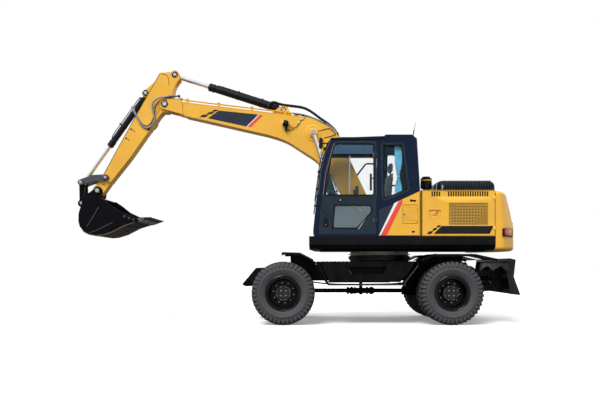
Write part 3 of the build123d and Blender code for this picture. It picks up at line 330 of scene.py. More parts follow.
@dataclass(frozen=True)
class BareMetal:
    """Polished or machined metal with fine drawn lines and a film of oil."""

    name: str
    colour: Colour
    roughness: float
    lines: Triple = (1, 1, 1)

    def make(self) -> bpy.types.Material:
        """Builds the material."""
        graph = Graph(self.name)
        film = graph.ramp(graph.noise(7, 5), 0.4, 0.75)
        graph.put("Base Color", graph.mix(film, self.colour, shaded(self.colour, 0.82)))
        graph.put("Metallic", 1.0)
        rough = graph.ramp(graph.noise(60, 3, self.lines), 0.3, 0.7, self.roughness * 0.7,
                           self.roughness * 1.5)
        graph.put("Roughness", rough)
        graph.bump(graph.noise(400, 2, self.lines), 0.04, 0.0005)
        return graph.material


@dataclass(frozen=True)
class Rubber:
    """Moulded rubber, greyed by a film of dry dust that on the tyres is partly a painted sheen. On wheels the
    film thins out towards the rim.
    """

    name: str
    colour: Colour
    dust: Colour
    amount: float = 0.5
    grain: float = 180.0
    specular: float = 0.3
    on_wheels: bool = False

    def _radius(self, graph: Graph) -> bpy.types.NodeSocket:
        """The distance from the nearer axle, in side view."""
        middle = SLEW_X + (AXLES["front"] + AXLES["rear"]) / 2000
        half_base = (AXLES["front"] - AXLES["rear"]) / 2000
        off = graph.math("ABSOLUTE", graph.math("SUBTRACT", graph.part("X"), middle))
        along = graph.math("SUBTRACT", off, half_base)
        up = graph.math("SUBTRACT", graph.part("Z"), WHEEL_Z / 1000)
        return graph.math("SQRT", graph.math("ADD", graph.times(along, along), graph.times(up, up)))

    def make(self) -> bpy.types.Material:
        """Builds the material."""
        graph = Graph(self.name)
        patches = graph.ramp(graph.noise(6, 7), 0.3, 0.75, 0.25)
        speckle = graph.ramp(graph.noise(70, 4), 0.35, 0.7)
        film = graph.math("ADD", graph.times(patches, 0.75), graph.times(speckle, 0.25))
        amount = graph.times(film, self.amount)
        if self.on_wheels:
            amount = graph.times(amount, graph.ramp(self._radius(graph), 0.27, 0.345, 0.2, 1.0))
        graph.put("Base Color", graph.mix(amount, self.colour, self.dust))
        graph.put("Specular IOR Level", self.specular)
        graph.put("Roughness", graph.ramp(graph.noise(30, 3), 0.3, 0.7, 0.62, 0.82))
        graph.bump(graph.noise(self.grain, 4), 0.18, 0.001)
        return graph.material


@dataclass(frozen=True)
class TintedGlass:
    """Safety glass with a faint tint and a little dust."""

    name: str
    tint: Colour
    clear: float = 0.92

    def make(self) -> bpy.types.Material:
        """Builds the material: part see-through, part tinted gloss."""
        graph = Graph(self.name)
        haze = graph.ramp(graph.noise(5, 5), 0.4, 0.8, 0.03, 0.09)
        graph.put("Base Color", graph.mix(haze, self.tint, (0.5, 0.5, 0.48)))
        graph.put("Roughness", graph.ramp(haze, 0.03, 0.09, 0.03, 0.08))
        graph.put("Alpha", graph.ramp(haze, 0.03, 0.09, 1 - self.clear, 1.02 - self.clear))
        graph.put("IOR", 1.45)
        return graph.material


@dataclass(frozen=True)
class WovenCloth:
    """Woven cloth: crossed threads in relief, with a slightly uneven colour and a soft sheen."""

    name: str
    colour: Colour
    threads: float = 420.0
    sheen: float = 0.3

    def make(self) -> bpy.types.Material:
        """Builds the material."""
        graph = Graph(self.name)
        weave = []
        for direction in ("X", "Z"):
            wave = graph.node("ShaderNodeTexWave", bands_direction=direction)
            wave.inputs["Scale"].default_value = self.threads
            graph.link(graph.place, wave.inputs["Vector"])
            weave.append(wave.outputs["Fac"])
        threads = graph.math("MAXIMUM", *weave)
        uneven = graph.ramp(graph.noise(11, 5), 0.3, 0.7)
        body = graph.mix(uneven, shaded(self.colour, 0.85), shaded(self.colour, 1.12))
        shade = graph.mix(graph.ramp(threads, 0.0, 1.0, 0.35, 0.0), body, shaded(self.colour, 0.55))
        graph.put("Base Color", shade)
        graph.put("Roughness", graph.ramp(threads, 0, 1, 0.95, 0.8))
        graph.put("Sheen Weight", self.sheen)
        graph.bump(threads, 0.25, 0.0006)
        return graph.material


@dataclass(frozen=True)
class Plastic:
    """Moulded plastic with a fine leathery grain, or a smooth clear lens where coat is high."""

    name: str
    colour: Colour
    roughness: float = 0.55
    grain: float = 0.15
    coat: float = 0.0
    specular: float = 0.3

    def make(self) -> bpy.types.Material:
        """Builds the material."""
        graph = Graph(self.name)
        tone = graph.ramp(graph.noise(12, 5), 0.3, 0.7)
        graph.put("Base Color", graph.mix(tone, shaded(self.colour, 0.88), shaded(self.colour, 1.1, 0.001)))
        rough = graph.ramp(graph.noise(25, 3), 0.3, 0.7, self.roughness * 0.85, self.roughness * 1.15)
        graph.put("Roughness", rough)
        graph.put("Coat Weight", self.coat)
        graph.put("Specular IOR Level", self.specular)
        graph.bump(graph.noise(260, 3), self.grain, 0.0008)
        return graph.material


class Finish(Enum):
    """Every finish on the machine. The value holds its recipe and the record's slot that it belongs to."""

    YELLOW = (Paint("amber_paint", (0.90, 0.485, 0.052), 0.42, 0.06, 0.10), "machine_yellow")
    NAVY = (Paint("cab_navy_paint", (0.0040, 0.0125, 0.038), 0.36, 0.08, 0.02, specular=0.10), "cab_navy")
    DOOR = (Paint("door_slate_paint", (0.010, 0.025, 0.040), 0.36, 0.14, 0.03, specular=0.2), "cab_navy")
    HOOD = (Paint("hood_ink_paint", (0.0022, 0.0040, 0.0105), 0.36, 0.10, 0.02, specular=0.10), "cab_navy")
    # A lighter copy of the hood's paint: a painted highlight on the pressed ribs.
    HOOD_RIB_HIGHLIGHT = (Paint("hood_rib_highlight_paint", (0.007, 0.011, 0.022), 0.3, 0.08, 0.02, specular=0.3), "cab_navy")
    # A darker copy of the machine yellow: painted shade on the recessed lattice bars.
    LATTICE = (Paint("lattice_shaded_yellow_paint", (0.50, 0.29, 0.05), 0.45, 0.1, 0.1), "machine_yellow")
    EDGE = (Paint("shaded_edge_paint", (0.13, 0.072, 0.020), 0.5, 0.1, 0.05), "machine_yellow")
    BLADE = (Paint("blade_black_paint", (0.0060, 0.0070, 0.0095), 0.45, 0.2, 0.04, specular=0.2),
             "black_steel")
    SKIRT = (Paint("skirt_black_paint", (0.0035, 0.004, 0.006), 0.46, 0.16, 0.02, specular=0.10),
             "skirt_black")
    CHASSIS = (Paint("chassis_black_paint", (0.0015, 0.0017, 0.0026), 0.5, 0.16, 0.018, specular=0.07),
               "black_steel")
    PLAIN_BLACK = (Paint("fitting_black_paint", (0.003, 0.004, 0.008), 0.38, 0.2, 0.02, specular=0.2),
                   "black_steel")
    BAND = (Paint("band_black_film", (0.006, 0.0065, 0.009), 0.35, 0.05, 0.01, 0.01), "skirt_black")
    DECAL_NAVY = (Paint("panel_navy_film", (0.016, 0.027, 0.050), 0.33, 0.05, 0.02, 0.01), "cab_navy")
    RED = (Paint("stripe_red_film", (0.86, 0.075, 0.06), 0.35, 0.05, 0.02, 0.01), "machine_yellow")
    WHITE = (Paint("stripe_white_film", (0.88, 0.88, 0.88), 0.35, 0.03, 0.02, 0.01), "machine_yellow")
    RIM = (Paint("rim_black_paint", (0.0018, 0.0018, 0.0024), 0.26, 0.16, 0.02, coat=0.18, specular=0.15),
           "rim_grey")
    HUB = (Paint("hub_grey_paint", (0.015, 0.016, 0.020), 0.42, 0.3, 0.06), "rim_grey")
    BUCKET = (WornSteel("bucket_black_steel", (0.0010, 0.0014, 0.0030), specular=0.07), "black_steel")
    WORN = (WornSteel("worn_edge_steel", (0.085, 0.072, 0.060), (0.30, 0.28, 0.26), 0.7, 0.45), "black_steel")
    LINK = (WornSteel("link_grey_steel", (0.060, 0.066, 0.078), (0.3, 0.3, 0.3), 0.35), "pale_grey_paint")
    CHROME = (BareMetal("chromed_rod", (0.86, 0.89, 0.95), 0.12), "chromed_steel")
    STEEL = (BareMetal("machined_steel", (0.52, 0.54, 0.58), 0.34), "chromed_steel")
    RING = (BareMetal("slew_ring_steel", (0.055, 0.055, 0.06), 0.45), "chromed_steel")
    # A lighter copy of the slew ring's steel: a painted highlight on the race.
    RACE_HIGHLIGHT = (BareMetal("slew_race_highlight_steel", (0.46, 0.44, 0.40), 0.5), "chromed_steel")
    # The tyres' bluish-grey film is partly dust and partly a painted sheen on the sidewalls.
    TYRE = (Rubber("tyre_rubber", (0.018, 0.020, 0.025), (0.25, 0.275, 0.315), 1.0, on_wheels=True),
            "tyre_rubber")
    SEAL = (Rubber("window_seal", (0.003, 0.003, 0.0035), (0.02, 0.02, 0.02), 0.2, specular=0.15),
            "dark_plastic")
    # A warm grey: on the door's front edge it is a painted highlight, on the bay door latch it is the grip's
    # colour.
    HIGHLIGHT_AND_GRIP = (Rubber("pillar_highlight_and_grip", (0.16, 0.105, 0.095), (0.26, 0.19, 0.18), 0.5), "dark_plastic")
    HOSE = (Rubber("hydraulic_hose", (0.16, 0.19, 0.24), (0.34, 0.39, 0.47), 0.7, 240), "hose_rubber")
    BLACK_HOSE = (Rubber("black_hose", (0.008, 0.010, 0.016), (0.05, 0.06, 0.08), 0.4, 240), "hose_rubber")
    GLASS = (TintedGlass("cab_glass_tint", (0.17, 0.35, 0.42), 0.965), "tinted_glass")
    # A pale grey-blue film: a painted reflection on the low door pane.
    REFLECTION_GLASS = (TintedGlass("pane_reflection_tint", (0.27, 0.36, 0.40), 0.70), "tinted_glass")
    BAND_GLASS = (TintedGlass("sun_band_tint", (0.05, 0.15, 0.28), 0.60), "tinted_glass")
    GLASS_EDGE = (Plastic("glass_edge", (0.20, 0.36, 0.42), 0.2, 0.01, 0.5), "tinted_glass")
    SEAT = (WovenCloth("seat_cloth", (0.13, 0.155, 0.15)), "seat_fabric")
    CURTAIN = (WovenCloth("curtain_cloth", (0.20, 0.72, 1.0), 500), "curtain_fabric")
    TRIM = (Plastic("cab_trim_plastic", (0.012, 0.014, 0.018)), "dark_plastic")
    LOCK_BLUE = (Plastic("lock_blue_plastic", (0.03, 0.12, 0.45), 0.3, 0.03, 0.3), "dark_plastic")
    LAMP_RED = (Plastic("lamp_red_lens", (0.36, 0.006, 0.012), 0.22, 0.02, 0.3), "lamp_plastic")
    LAMP_AMBER = (Plastic("lamp_amber_lens", (0.85, 0.17, 0.008), 0.22, 0.02, 0.3), "lamp_plastic")
    LAMP_CLEAR = (Plastic("lamp_clear_lens", (0.75, 0.78, 0.80), 0.12, 0.01, 0.9), "lamp_plastic")
    RADIATOR = (WornSteel("dusty_radiator", (0.12, 0.075, 0.032), (0.30, 0.22, 0.13), 0.5, 0.7),
                "engine_iron")
    ENGINE = (Paint("engine_iron_paint", (0.05, 0.055, 0.06), 0.6, 0.3, 0.3, 0.2), "engine_iron")

    @property
    def slot(self) -> str:
        """The record's material slot."""
        return self.value[1]

    def material(self) -> bpy.types.Material:
        """The finish's material, built the first time it is asked for."""
        recipe = self.value[0]
        return bpy.data.materials.get(recipe.name) or recipe.make()


# ---- mesh building
class Sculpt:
    """Collects the faces of one piece, in the frame's metres."""

    def __init__(self) -> None:
        """Starts an empty piece."""
        self.bm = bmesh.new()

    def _soften(self, faces: Iterable[bmesh.types.BMFace], bevel: float) -> None:
        """Rounds the edges of new faces by a bevel in millimetres."""
        if bevel:
            edges = list({edge for face in faces for edge in face.edges})
            bmesh.ops.bevel(self.bm, geom=edges, offset=bevel / 1000, segments=2, profile=0.6, affect="EDGES",
                            clamp_overlap=True)

    def loft(self, rings: Sequence[Sequence[Vector]], bevel: float = 0.0, closed: bool = False) -> None:
        """Skins rings of points.

        Args:
            rings: Rings with the same number of points.
            bevel: Edge rounding in millimetres.
            closed: Whether the last ring joins the first.
        """
        made = [[self.bm.verts.new(point) for point in ring] for ring in rings]
        count = len(made[0])
        faces = []
        pairs = list(zip(made, made[1:])) + ([(made[-1], made[0])] if closed else [])
        for lower, upper in pairs:
            for index in range(count):
                after = (index + 1) % count
                faces.append(self.bm.faces.new((lower[index], lower[after], upper[after], upper[index])))
        if not closed:
            faces.append(self.bm.faces.new(list(reversed(made[0]))))
            faces.append(self.bm.faces.new(made[-1]))
        bmesh.ops.recalc_face_normals(self.bm, faces=faces)
        self._soften(faces, bevel)

    def plate(self, outline: Sequence[Point], y_low: float, y_high: float, bevel: float = 0.0) -> "Sculpt":
        """Adds a plate of a side-view outline between two places along Y, given in either order."""
        self.loft([[row(x, y, z) for x, z in outline] for y in (y_low, y_high)], bevel)
        return self

    def box(self, low: Triple, high: Triple, bevel: float = 0.0) -> "Sculpt":
        """Adds a box between two opposite corners."""
        outline = [(low[0], low[2]), (high[0], low[2]), (high[0], high[2]), (low[0], high[2])]
        return self.plate(outline, low[1], high[1], bevel)

    def rod(self, start: Triple, end: Triple, radius: float, sides: int = 16, bevel: float = 0.0) -> "Sculpt":
        """Adds a round bar, or a hexagon where sides is 6."""
        first, last = row(*start), row(*end)
        turn = (last - first).to_track_quat("Z", "Y").to_matrix()
        ring = [turn @ Vector((math.cos(angle), math.sin(angle), 0)) * (radius / 1000)
                for angle in spokes(sides)]
        self.loft([[first + spoke for spoke in ring], [last + spoke for spoke in ring]], bevel)
        return self

    def lathe(self, centre: Triple, profile: Sequence[Point], sides: int = 48, side: int = 1,
              closed: bool = False) -> "Sculpt":
        """Turns a profile of (radius, offset) pairs about an axis across the machine.

        Args:
            centre: A point on the axis, where the offset is zero.
            profile: Radius and offset along Y, times side.
            sides: Facets round the axis.
            side: 1 or -1, the way that offsets run.
            closed: Whether the profile is a closed loop, as a ring's is.

        Returns:
            The piece itself.
        """
        middle = row(*centre)
        rings = []
        for radius, offset in profile:
            spokes_here = [Vector((math.cos(angle) * radius, side * offset, math.sin(angle) * radius))
                           for angle in spokes(sides)]
            rings.append([middle + spoke / 1000 for spoke in spokes_here])
        self.loft(rings, closed=closed)
        return self

    def frame(self, outline: Sequence[Point], width: float, y_low: float, y_high: float) -> "Sculpt":
        """Adds a flat strip along the inside of a closed outline, such as a window's seal.

        Args:
            outline: The strip's outer edge, in side view.
            width: The strip's width.
            y_low: One face.
            y_high: The other face.

        Returns:
            The piece itself.
        """
        inner = inset(outline, width)
        levels = ((outline, y_low), (outline, y_high), (inner, y_high), (inner, y_low))
        self.loft([[row(x, y, z) for x, z in edge] for edge, y in levels], closed=True)
        return self

    def collar(self, outer: Sequence[Point], inner: Sequence[Point], low: float, high: float) -> "Sculpt":
        """Adds an upright band between two outlines in plan, from one height to another."""
        levels = ((outer, low), (outer, high), (inner, high), (inner, low))
        self.loft([[row(x, y, z) for x, y in edge] for edge, z in levels], closed=True)
        return self

    def strip(self, line: Sequence[Point], width: float, y_low: float, y_high: float) -> "Sculpt":
        """Adds a flat strip that follows an open line in side view.

        Args:
            line: The strip's middle.
            width: Its width.
            y_low: One face.
            y_high: The other face.

        Returns:
            The piece itself.
        """
        points = [Vector(point) for point in line]
        rings = []
        for index, point in enumerate(points):
            along = (points[min(index + 1, len(points) - 1)] - points[max(index - 1, 0)]).normalized()
            across = Vector((-along.y, along.x)) * width / 2
            left, right = point + across, point - across
            rings.append([row(left.x, y_low, left.y), row(left.x, y_high, left.y),
                          row(right.x, y_high, right.y), row(right.x, y_low, right.y)])
        self.loft(rings)
        return self

    def tube(self, points: Sequence[Triple], radius: float, sides: int = 10) -> "Sculpt":
        """Adds a round tube along a smooth line through points, in machine millimetres."""
        self.add(curve_mesh([row(*point) for point in points], radius / 1000, sides))
        return self

    def bolt(self, place: Triple, radius: float, height: float, side: int = 1) -> "Sculpt":
        """Adds a hexagon bolt head with its washer on a face that looks along Y."""
        x, y, z = place
        self.rod((x, y, z), (x, y + side * height * 0.25, z), radius * 1.35, 20)
        self.rod((x, y, z), (x, y + side * height, z), radius, 6, radius * 0.08)
        return self

    def add(self, mesh: bpy.types.Mesh, matrix: Optional[Matrix] = None) -> "Sculpt":
        """Adds a finished mesh, turned by a matrix, and removes it from the file."""
        if matrix is not None:
            mesh.transform(matrix)
        self.bm.from_mesh(mesh)
        bpy.data.meshes.remove(mesh)
        return self

    def mesh(self, name: str) -> bpy.types.Mesh:
        """Turns the faces into a bare mesh and ends the piece."""
        made = bpy.data.meshes.new(name)
        self.bm.to_mesh(made)
        self.bm.free()
        return made

    def piece(self, name: str, body: Optional[str], finish: Finish, smooth: float = 35.0,
              flat_over: float = math.inf) -> bpy.types.Object:
        """Turns the faces into a piece of the machine.

        Args:
            name: The piece's name.
            body: The CAD body it rides on, or None to leave it on no body.
            finish: Its finish.
            smooth: Edges sharper than this many degrees stay sharp.
            flat_over: Faces larger than this, in square metres, are shaded flat.

        Returns:
            The piece's object.
        """
        bmesh.ops.remove_doubles(self.bm, verts=self.bm.verts, dist=1e-6)
        mesh = self.mesh(name)
        mesh.materials.append(finish.material())
        for polygon in mesh.polygons:
            polygon.use_smooth = polygon.area < flat_over
            polygon.material_index = 0
        mesh.set_sharp_from_angle(angle=math.radians(smooth))
        made = placed(name, mesh)
        if body:
            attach(made, body)
        LOG.info("%s on %s: %d faces", name, body, len(mesh.polygons))
        return made


def curve_mesh(points: Sequence[Vector], radius: float, sides: int) -> bpy.types.Mesh:
    """Makes a round tube along a smooth open line.

    Args:
        points: Control points of the line, in metres.
        radius: The tube's radius in metres.
        sides: Facets round the tube.

    Returns:
        The tube's mesh, capped at both ends.
    """
    curve = bpy.data.curves.new("run", "CURVE")
    curve.dimensions = "3D"
    curve.bevel_depth = radius
    curve.bevel_resolution = max(0, sides // 4 - 1)
    curve.use_fill_caps = True
    spline = curve.splines.new("NURBS")
    spline.points.add(len(points) - 1)
    for control, place in zip(spline.points, points):
        control.co = (*place, 1)
    spline.order_u = 3
    spline.use_endpoint_u = True
    spline.resolution_u = 6
    holder = placed("run", curve)
    mesh = evaluated(holder)
    bpy.data.objects.remove(holder)
    bpy.data.curves.remove(curve)
    return mesh


# ---- repeated parts
class Layout(Enum):
    """How a repeated item is laid out."""

    RING = "ring"
    GRID = "grid"


@dataclass
class Repeat:
    """Geometry Nodes that set copies of one item round a ring about Y, or on a grid across X and Z."""

    layout: Layout
    count: int
    radius: float = 0.0
    columns: int = 1
    step_x: float = 0.0
    step_z: float = 0.0
    turn: float = 0.0

    def _tree(self) -> bpy.types.NodeTree:
        """Builds the node tree, with a named input for each size."""
        tree = bpy.data.node_groups.new(f"repeat_{self.layout.value}", "GeometryNodeTree")
        sockets = tree.interface
        sockets.new_socket("Geometry", in_out="OUTPUT", socket_type="NodeSocketGeometry")
        kinds = {"Geometry": "Geometry", "Item": "Object", "Count": "Int", "Columns": "Int",
                 "Radius": "Float", "Step X": "Float", "Step Z": "Float", "Turn": "Float",
                 "Finish": "Material"}
        for label, kind in kinds.items():
            sockets.new_socket(label, in_out="INPUT", socket_type=f"NodeSocket{kind}")
        build = Nodes(tree)
        source, out = build.node("NodeGroupInput"), build.node("NodeGroupOutput")
        size = source.outputs
        index = build.node("GeometryNodeInputIndex").outputs[0]
        place, turn = build.node("ShaderNodeCombineXYZ"), build.node("ShaderNodeCombineXYZ")
        if self.layout is Layout.RING:
            share = build.math("DIVIDE", index, size["Count"])
            angle = build.math("ADD", build.times(share, math.tau), size["Turn"])
            build.link(build.times(build.math("SINE", angle), size["Radius"]), place.inputs[0])
            build.link(build.times(build.math("COSINE", angle), size["Radius"]), place.inputs[2])
            build.link(angle, turn.inputs[1])
        else:
            across = build.math("MODULO", index, size["Columns"])
            up = build.math("FLOOR", build.math("DIVIDE", index, size["Columns"]))
            build.link(build.times(across, size["Step X"]), place.inputs[0])
            build.link(build.times(up, size["Step Z"]), place.inputs[2])
            build.link(size["Turn"], turn.inputs[1])
        points, item = build.node("GeometryNodePoints"), build.node("GeometryNodeObjectInfo")
        copies, real = build.node("GeometryNodeInstanceOnPoints"), build.node("GeometryNodeRealizeInstances")
        dress = build.node("GeometryNodeSetMaterial")
        for source_socket, target in ((size["Count"], points.inputs["Count"]),
                                      (place.outputs[0], points.inputs["Position"]),
                                      (size["Item"], item.inputs["Object"]),
                                      (points.outputs[0], copies.inputs["Points"]),
                                      (item.outputs["Geometry"], copies.inputs["Instance"]),
                                      (turn.outputs[0], copies.inputs["Rotation"]),
                                      (copies.outputs[0], real.inputs[0]),
                                      (real.outputs[0], dress.inputs["Geometry"]),
                                      (size["Finish"], dress.inputs["Material"]),
                                      (dress.outputs[0], out.inputs[0])):
            build.link(source_socket, target)
        return tree

    def mesh(self, item: Sculpt, finish: Finish) -> bpy.types.Mesh:
        """Lays out the copies.

        Args:
            item: One copy, in metres about the origin.
            finish: The finish of every copy.

        Returns:
            One mesh of all the copies, about the origin.
        """
        tree = self._tree()
        source = placed("item", item.mesh("item"))
        holder = placed("copies", bpy.data.meshes.new("copies"))
        modifier = holder.modifiers.new("repeat", "NODES")
        modifier.node_group = tree
        values = {"Item": source, "Count": self.count, "Columns": self.columns, "Radius": self.radius / 1000,
                  "Step X": self.step_x / 1000, "Step Z": self.step_z / 1000, "Turn": math.radians(self.turn),
                  "Finish": finish.material()}
        for socket in tree.interface.items_tree:
            if socket.name in values:
                modifier[socket.identifier] = values[socket.name]
        result = evaluated(holder)
        holder.modifiers.remove(modifier)
        discard(holder, source)
        bpy.data.node_groups.remove(tree)
        return result


def at_origin(make: Callable[[Sculpt], object]) -> Sculpt:
    """Builds an item about the origin instead of the slew axis, for a Repeat.

    Args:
        make: Adds the item's shapes, in millimetres.

    Returns:
        The item, moved so that machine zero is at the origin.
    """
    item = Sculpt()
    make(item)
    bmesh.ops.translate(item.bm, verts=item.bm.verts, vec=(-SLEW_X, 0, 0))
    return item


def moved(x: float, y: float, z: float, turn: Optional[Matrix] = None) -> Matrix:
    """A matrix that takes something built about the origin to a place on the machine."""
    place = Matrix.Translation(row(x, y, z))
    return place @ turn.to_4x4() if turn is not None else place


# ---- outlines
def rounded(outline: Sequence[Point], radius: float, steps: int = 5) -> list[Point]:
    """Rounds every corner of a closed outline.

    Args:
        outline: Corners in order.
        radius: Corner radius, cut down where a side is too short for it.
        steps: Segments in each corner.

    Returns:
        The rounded outline.
    """
    corners = [Vector(point) for point in outline]
    result: list[Point] = []
    for index, corner in enumerate(corners):
        back = corners[index - 1] - corner
        ahead = corners[(index + 1) % len(corners)] - corner
        half = back.angle(ahead) / 2
        reach = min(radius / math.tan(half), back.length * 0.45, ahead.length * 0.45)
        start, end = corner + back.normalized() * reach, corner + ahead.normalized() * reach
        for step in range(steps + 1):
            share = step / steps
            place = start * (1 - share) ** 2 + corner * 2 * share * (1 - share) + end * share**2
            result.append((place.x, place.y))
    return result


def inset(outline: Sequence[Point], gap: float) -> list[Point]:
    """Moves a closed outline inwards, point by point.

    Args:
        outline: Points in order, either way round.
        gap: Distance inwards; negative moves outwards.

    Returns:
        The same number of points.
    """
    points = [Vector(point) for point in outline]
    count = len(points)
    area = sum(points[i - 1].x * points[i].y - points[i].x * points[i - 1].y for i in range(count))
    turn = 1 if area > 0 else -1
    result = []
    for index, point in enumerate(points):
        before = (point - points[index - 1]).normalized()
        after = (points[(index + 1) % count] - point).normalized()
        normals = [Vector((-edge.y, edge.x)) * turn for edge in (before, after)]
        middle = (normals[0] + normals[1]).normalized()
        moved_point = point + middle * gap / max(0.35, middle.dot(normals[0]))
        result.append((moved_point.x, moved_point.y))
    return result


def spokes(count: int, start: float = 0.0) -> list[float]:
    """Angles evenly spread round a circle, from a first one in degrees."""
    return [math.radians(start) + math.tau * index / count for index in range(count)]


def oval(centre: Point, wide: float, tall: float, sides: int) -> list[Point]:
    """Points round an ellipse, or a circle where both reaches are the same."""
    return [(centre[0] + wide * math.cos(angle), centre[1] + tall * math.sin(angle))
            for angle in spokes(sides)]


def rect(x_low: float, z_low: float, x_high: float, z_high: float) -> list[Point]:
    """The corners of a rectangle."""
    return [(x_low, z_low), (x_high, z_low), (x_high, z_high), (x_low, z_high)]


def carved(node: str, cutter: Sculpt) -> Sculpt:
    """Copies a CAD node and cuts shapes out of the copy.

    Args:
        node: The CAD node.
        cutter: Closed shapes to cut away.

    Returns:
        The cut copy, to add to and turn into a piece.
    """
    copy = Sculpt()
    copy.bm.from_mesh(frame["nodes"][node].data)
    bmesh.ops.remove_doubles(copy.bm, verts=copy.bm.verts, dist=1e-6)
    stock, tool = placed("stock", copy.mesh("stock")), placed("cutter", cutter.mesh("cutter"))
    modifier = stock.modifiers.new("cut", "BOOLEAN")
    modifier.operation, modifier.solver, modifier.object = "DIFFERENCE", "EXACT", tool
    modifier.use_self = True
    result = evaluated(stock)
    discard(stock, tool)
    return Sculpt().add(result)


# ---- studio
@dataclass
class Studio:
    """Floor, soft light and the camera."""

    eye: Triple = (1250, 13500, 994)
    lens: float = 44.6
    shift: Point = (-0.0172, 0.1087)
    sky: float = 0.88
    key: float = 2.2
    key_way: Triple = (-0.35, -0.75, -0.95)
    floor_half: float = 60.0
    floor_glow: float = 0.22

    def build(self) -> None:
        """Builds the whole stage."""
        self._camera()
        self._sky()
        self._floor()
        sun = bpy.data.lights.new("key", "SUN")
        sun.energy, sun.angle = self.key, math.radians(25)
        placed("key", sun).rotation_euler = Vector(self.key_way).to_track_quat("-Z", "Y").to_euler()
        bpy.context.scene.view_settings.view_transform = "Standard"

    def _camera(self) -> None:
        """Sets up the side-on camera."""
        camera = bpy.data.cameras.new("camera")
        camera.lens, camera.sensor_width = self.lens, 36
        camera.shift_x, camera.shift_y = self.shift
        holder = placed("camera", camera)
        holder.location = row(*self.eye)
        holder.rotation_euler = (math.radians(90), 0, math.radians(180))
        bpy.context.scene.camera = holder

    def _sky(self) -> None:
        """Lights the scene evenly, and shows plain white behind it."""
        world = bpy.data.worlds.new("sky")
        bpy.context.scene.world = world
        world.use_nodes = True
        build = Nodes(world.node_tree)
        background = world.node_tree.nodes["Background"]
        background.inputs["Color"].default_value = (1, 1, 1, 1)
        path = build.node("ShaderNodeLightPath")
        seen = build.math("MAXIMUM", path.outputs["Is Camera Ray"], path.outputs["Is Transmission Ray"])
        level = build.node("ShaderNodeMapRange")
        build.link(seen, level.inputs["Value"])
        level.inputs["To Min"].default_value, level.inputs["To Max"].default_value = self.sky, 1.0
        build.link(level.outputs["Result"], background.inputs["Strength"])

    def _floor(self) -> None:
        """Lays a white floor that shows the machine's shadow."""
        mesh = bpy.data.meshes.new("floor")
        half = self.floor_half
        mesh.from_pydata([(x, y, 0) for x, y in rect(-half, -half, half, half)], [], [(0, 1, 2, 3)])
        floor = placed("floor", mesh)
        graph = Graph("floor_white")
        tone = graph.ramp(graph.noise(0.7, 3), 0.3, 0.7)
        white = graph.mix(tone, (0.93, 0.93, 0.93), (0.95, 0.95, 0.95))
        graph.put("Roughness", 0.9)
        graph.put("Specular IOR Level", 0.0)
        path = graph.node("ShaderNodeLightPath")
        seen = graph.math("MAXIMUM", path.outputs["Is Camera Ray"], path.outputs["Is Transmission Ray"])
        graph.put("Base Color", graph.mix(seen, (0.16, 0.15, 0.14), white))
        graph.put("Emission Color", (1, 1, 1, 1))
        graph.put("Emission Strength", graph.times(seen, self.floor_glow))
        mesh.materials.append(graph.material)


# ---- carried-over nodes
DRESSING: dict[Finish, tuple[str, ...]] = {
    Finish.YELLOW: ("boom", "stick", "cab_side_panel", "counterweight", "right_tanks", "boom_pipes"),
    Finish.NAVY: ("cab_shell",),
    Finish.DOOR: ("cab_door",),
    Finish.HOOD: ("engine_hood",),
    Finish.SKIRT: ("deck_skirts",),
    Finish.CHASSIS: ("chassis_frame", "fenders", "step_boxes", "front_axle", "rear_axle", "driveline",
                     "left_knuckle", "right_knuckle", "tie_rod", "upper_frame", "bay_frame"),
    Finish.PLAIN_BLACK: ("boom_cylinder_barrel", "arm_cylinder_barrel", "bucket_cylinder_barrel",
                         "blade_cylinder_barrel", "mirrors", "handrails", "air_precleaner", "boom_lamp"),
    Finish.BUCKET: ("bucket", "bucket_link"),
    Finish.BLADE: ("dozer_blade", "blade_lower_arms", "blade_upper_links"),
    Finish.LINK: ("rocker_links",),
    Finish.RIM: ("front_left_wheel", "front_right_wheel", "rear_left_wheel", "rear_right_wheel"),
    Finish.CHROME: ("boom_cylinder_rod", "arm_cylinder_rod", "bucket_cylinder_rod", "blade_cylinder_rod"),
    Finish.RING: ("slew_ring",),
    Finish.GLASS: ("cab_glass", "door_glass"),
    Finish.TRIM: ("seat_base", "steering_column", "tail_lamps"),
    Finish.ENGINE: ("engine_block",),
}


def dress_nodes() -> None:
    """Gives every CAD node that stays its finish."""
    for finish, names in DRESSING.items():
        for name in names:
            node = frame["nodes"][name]
            for material_slot in node.material_slots:
                material_slot.material = finish.material()
            LOG.info("%s wears %s", name, finish.value[0].name)


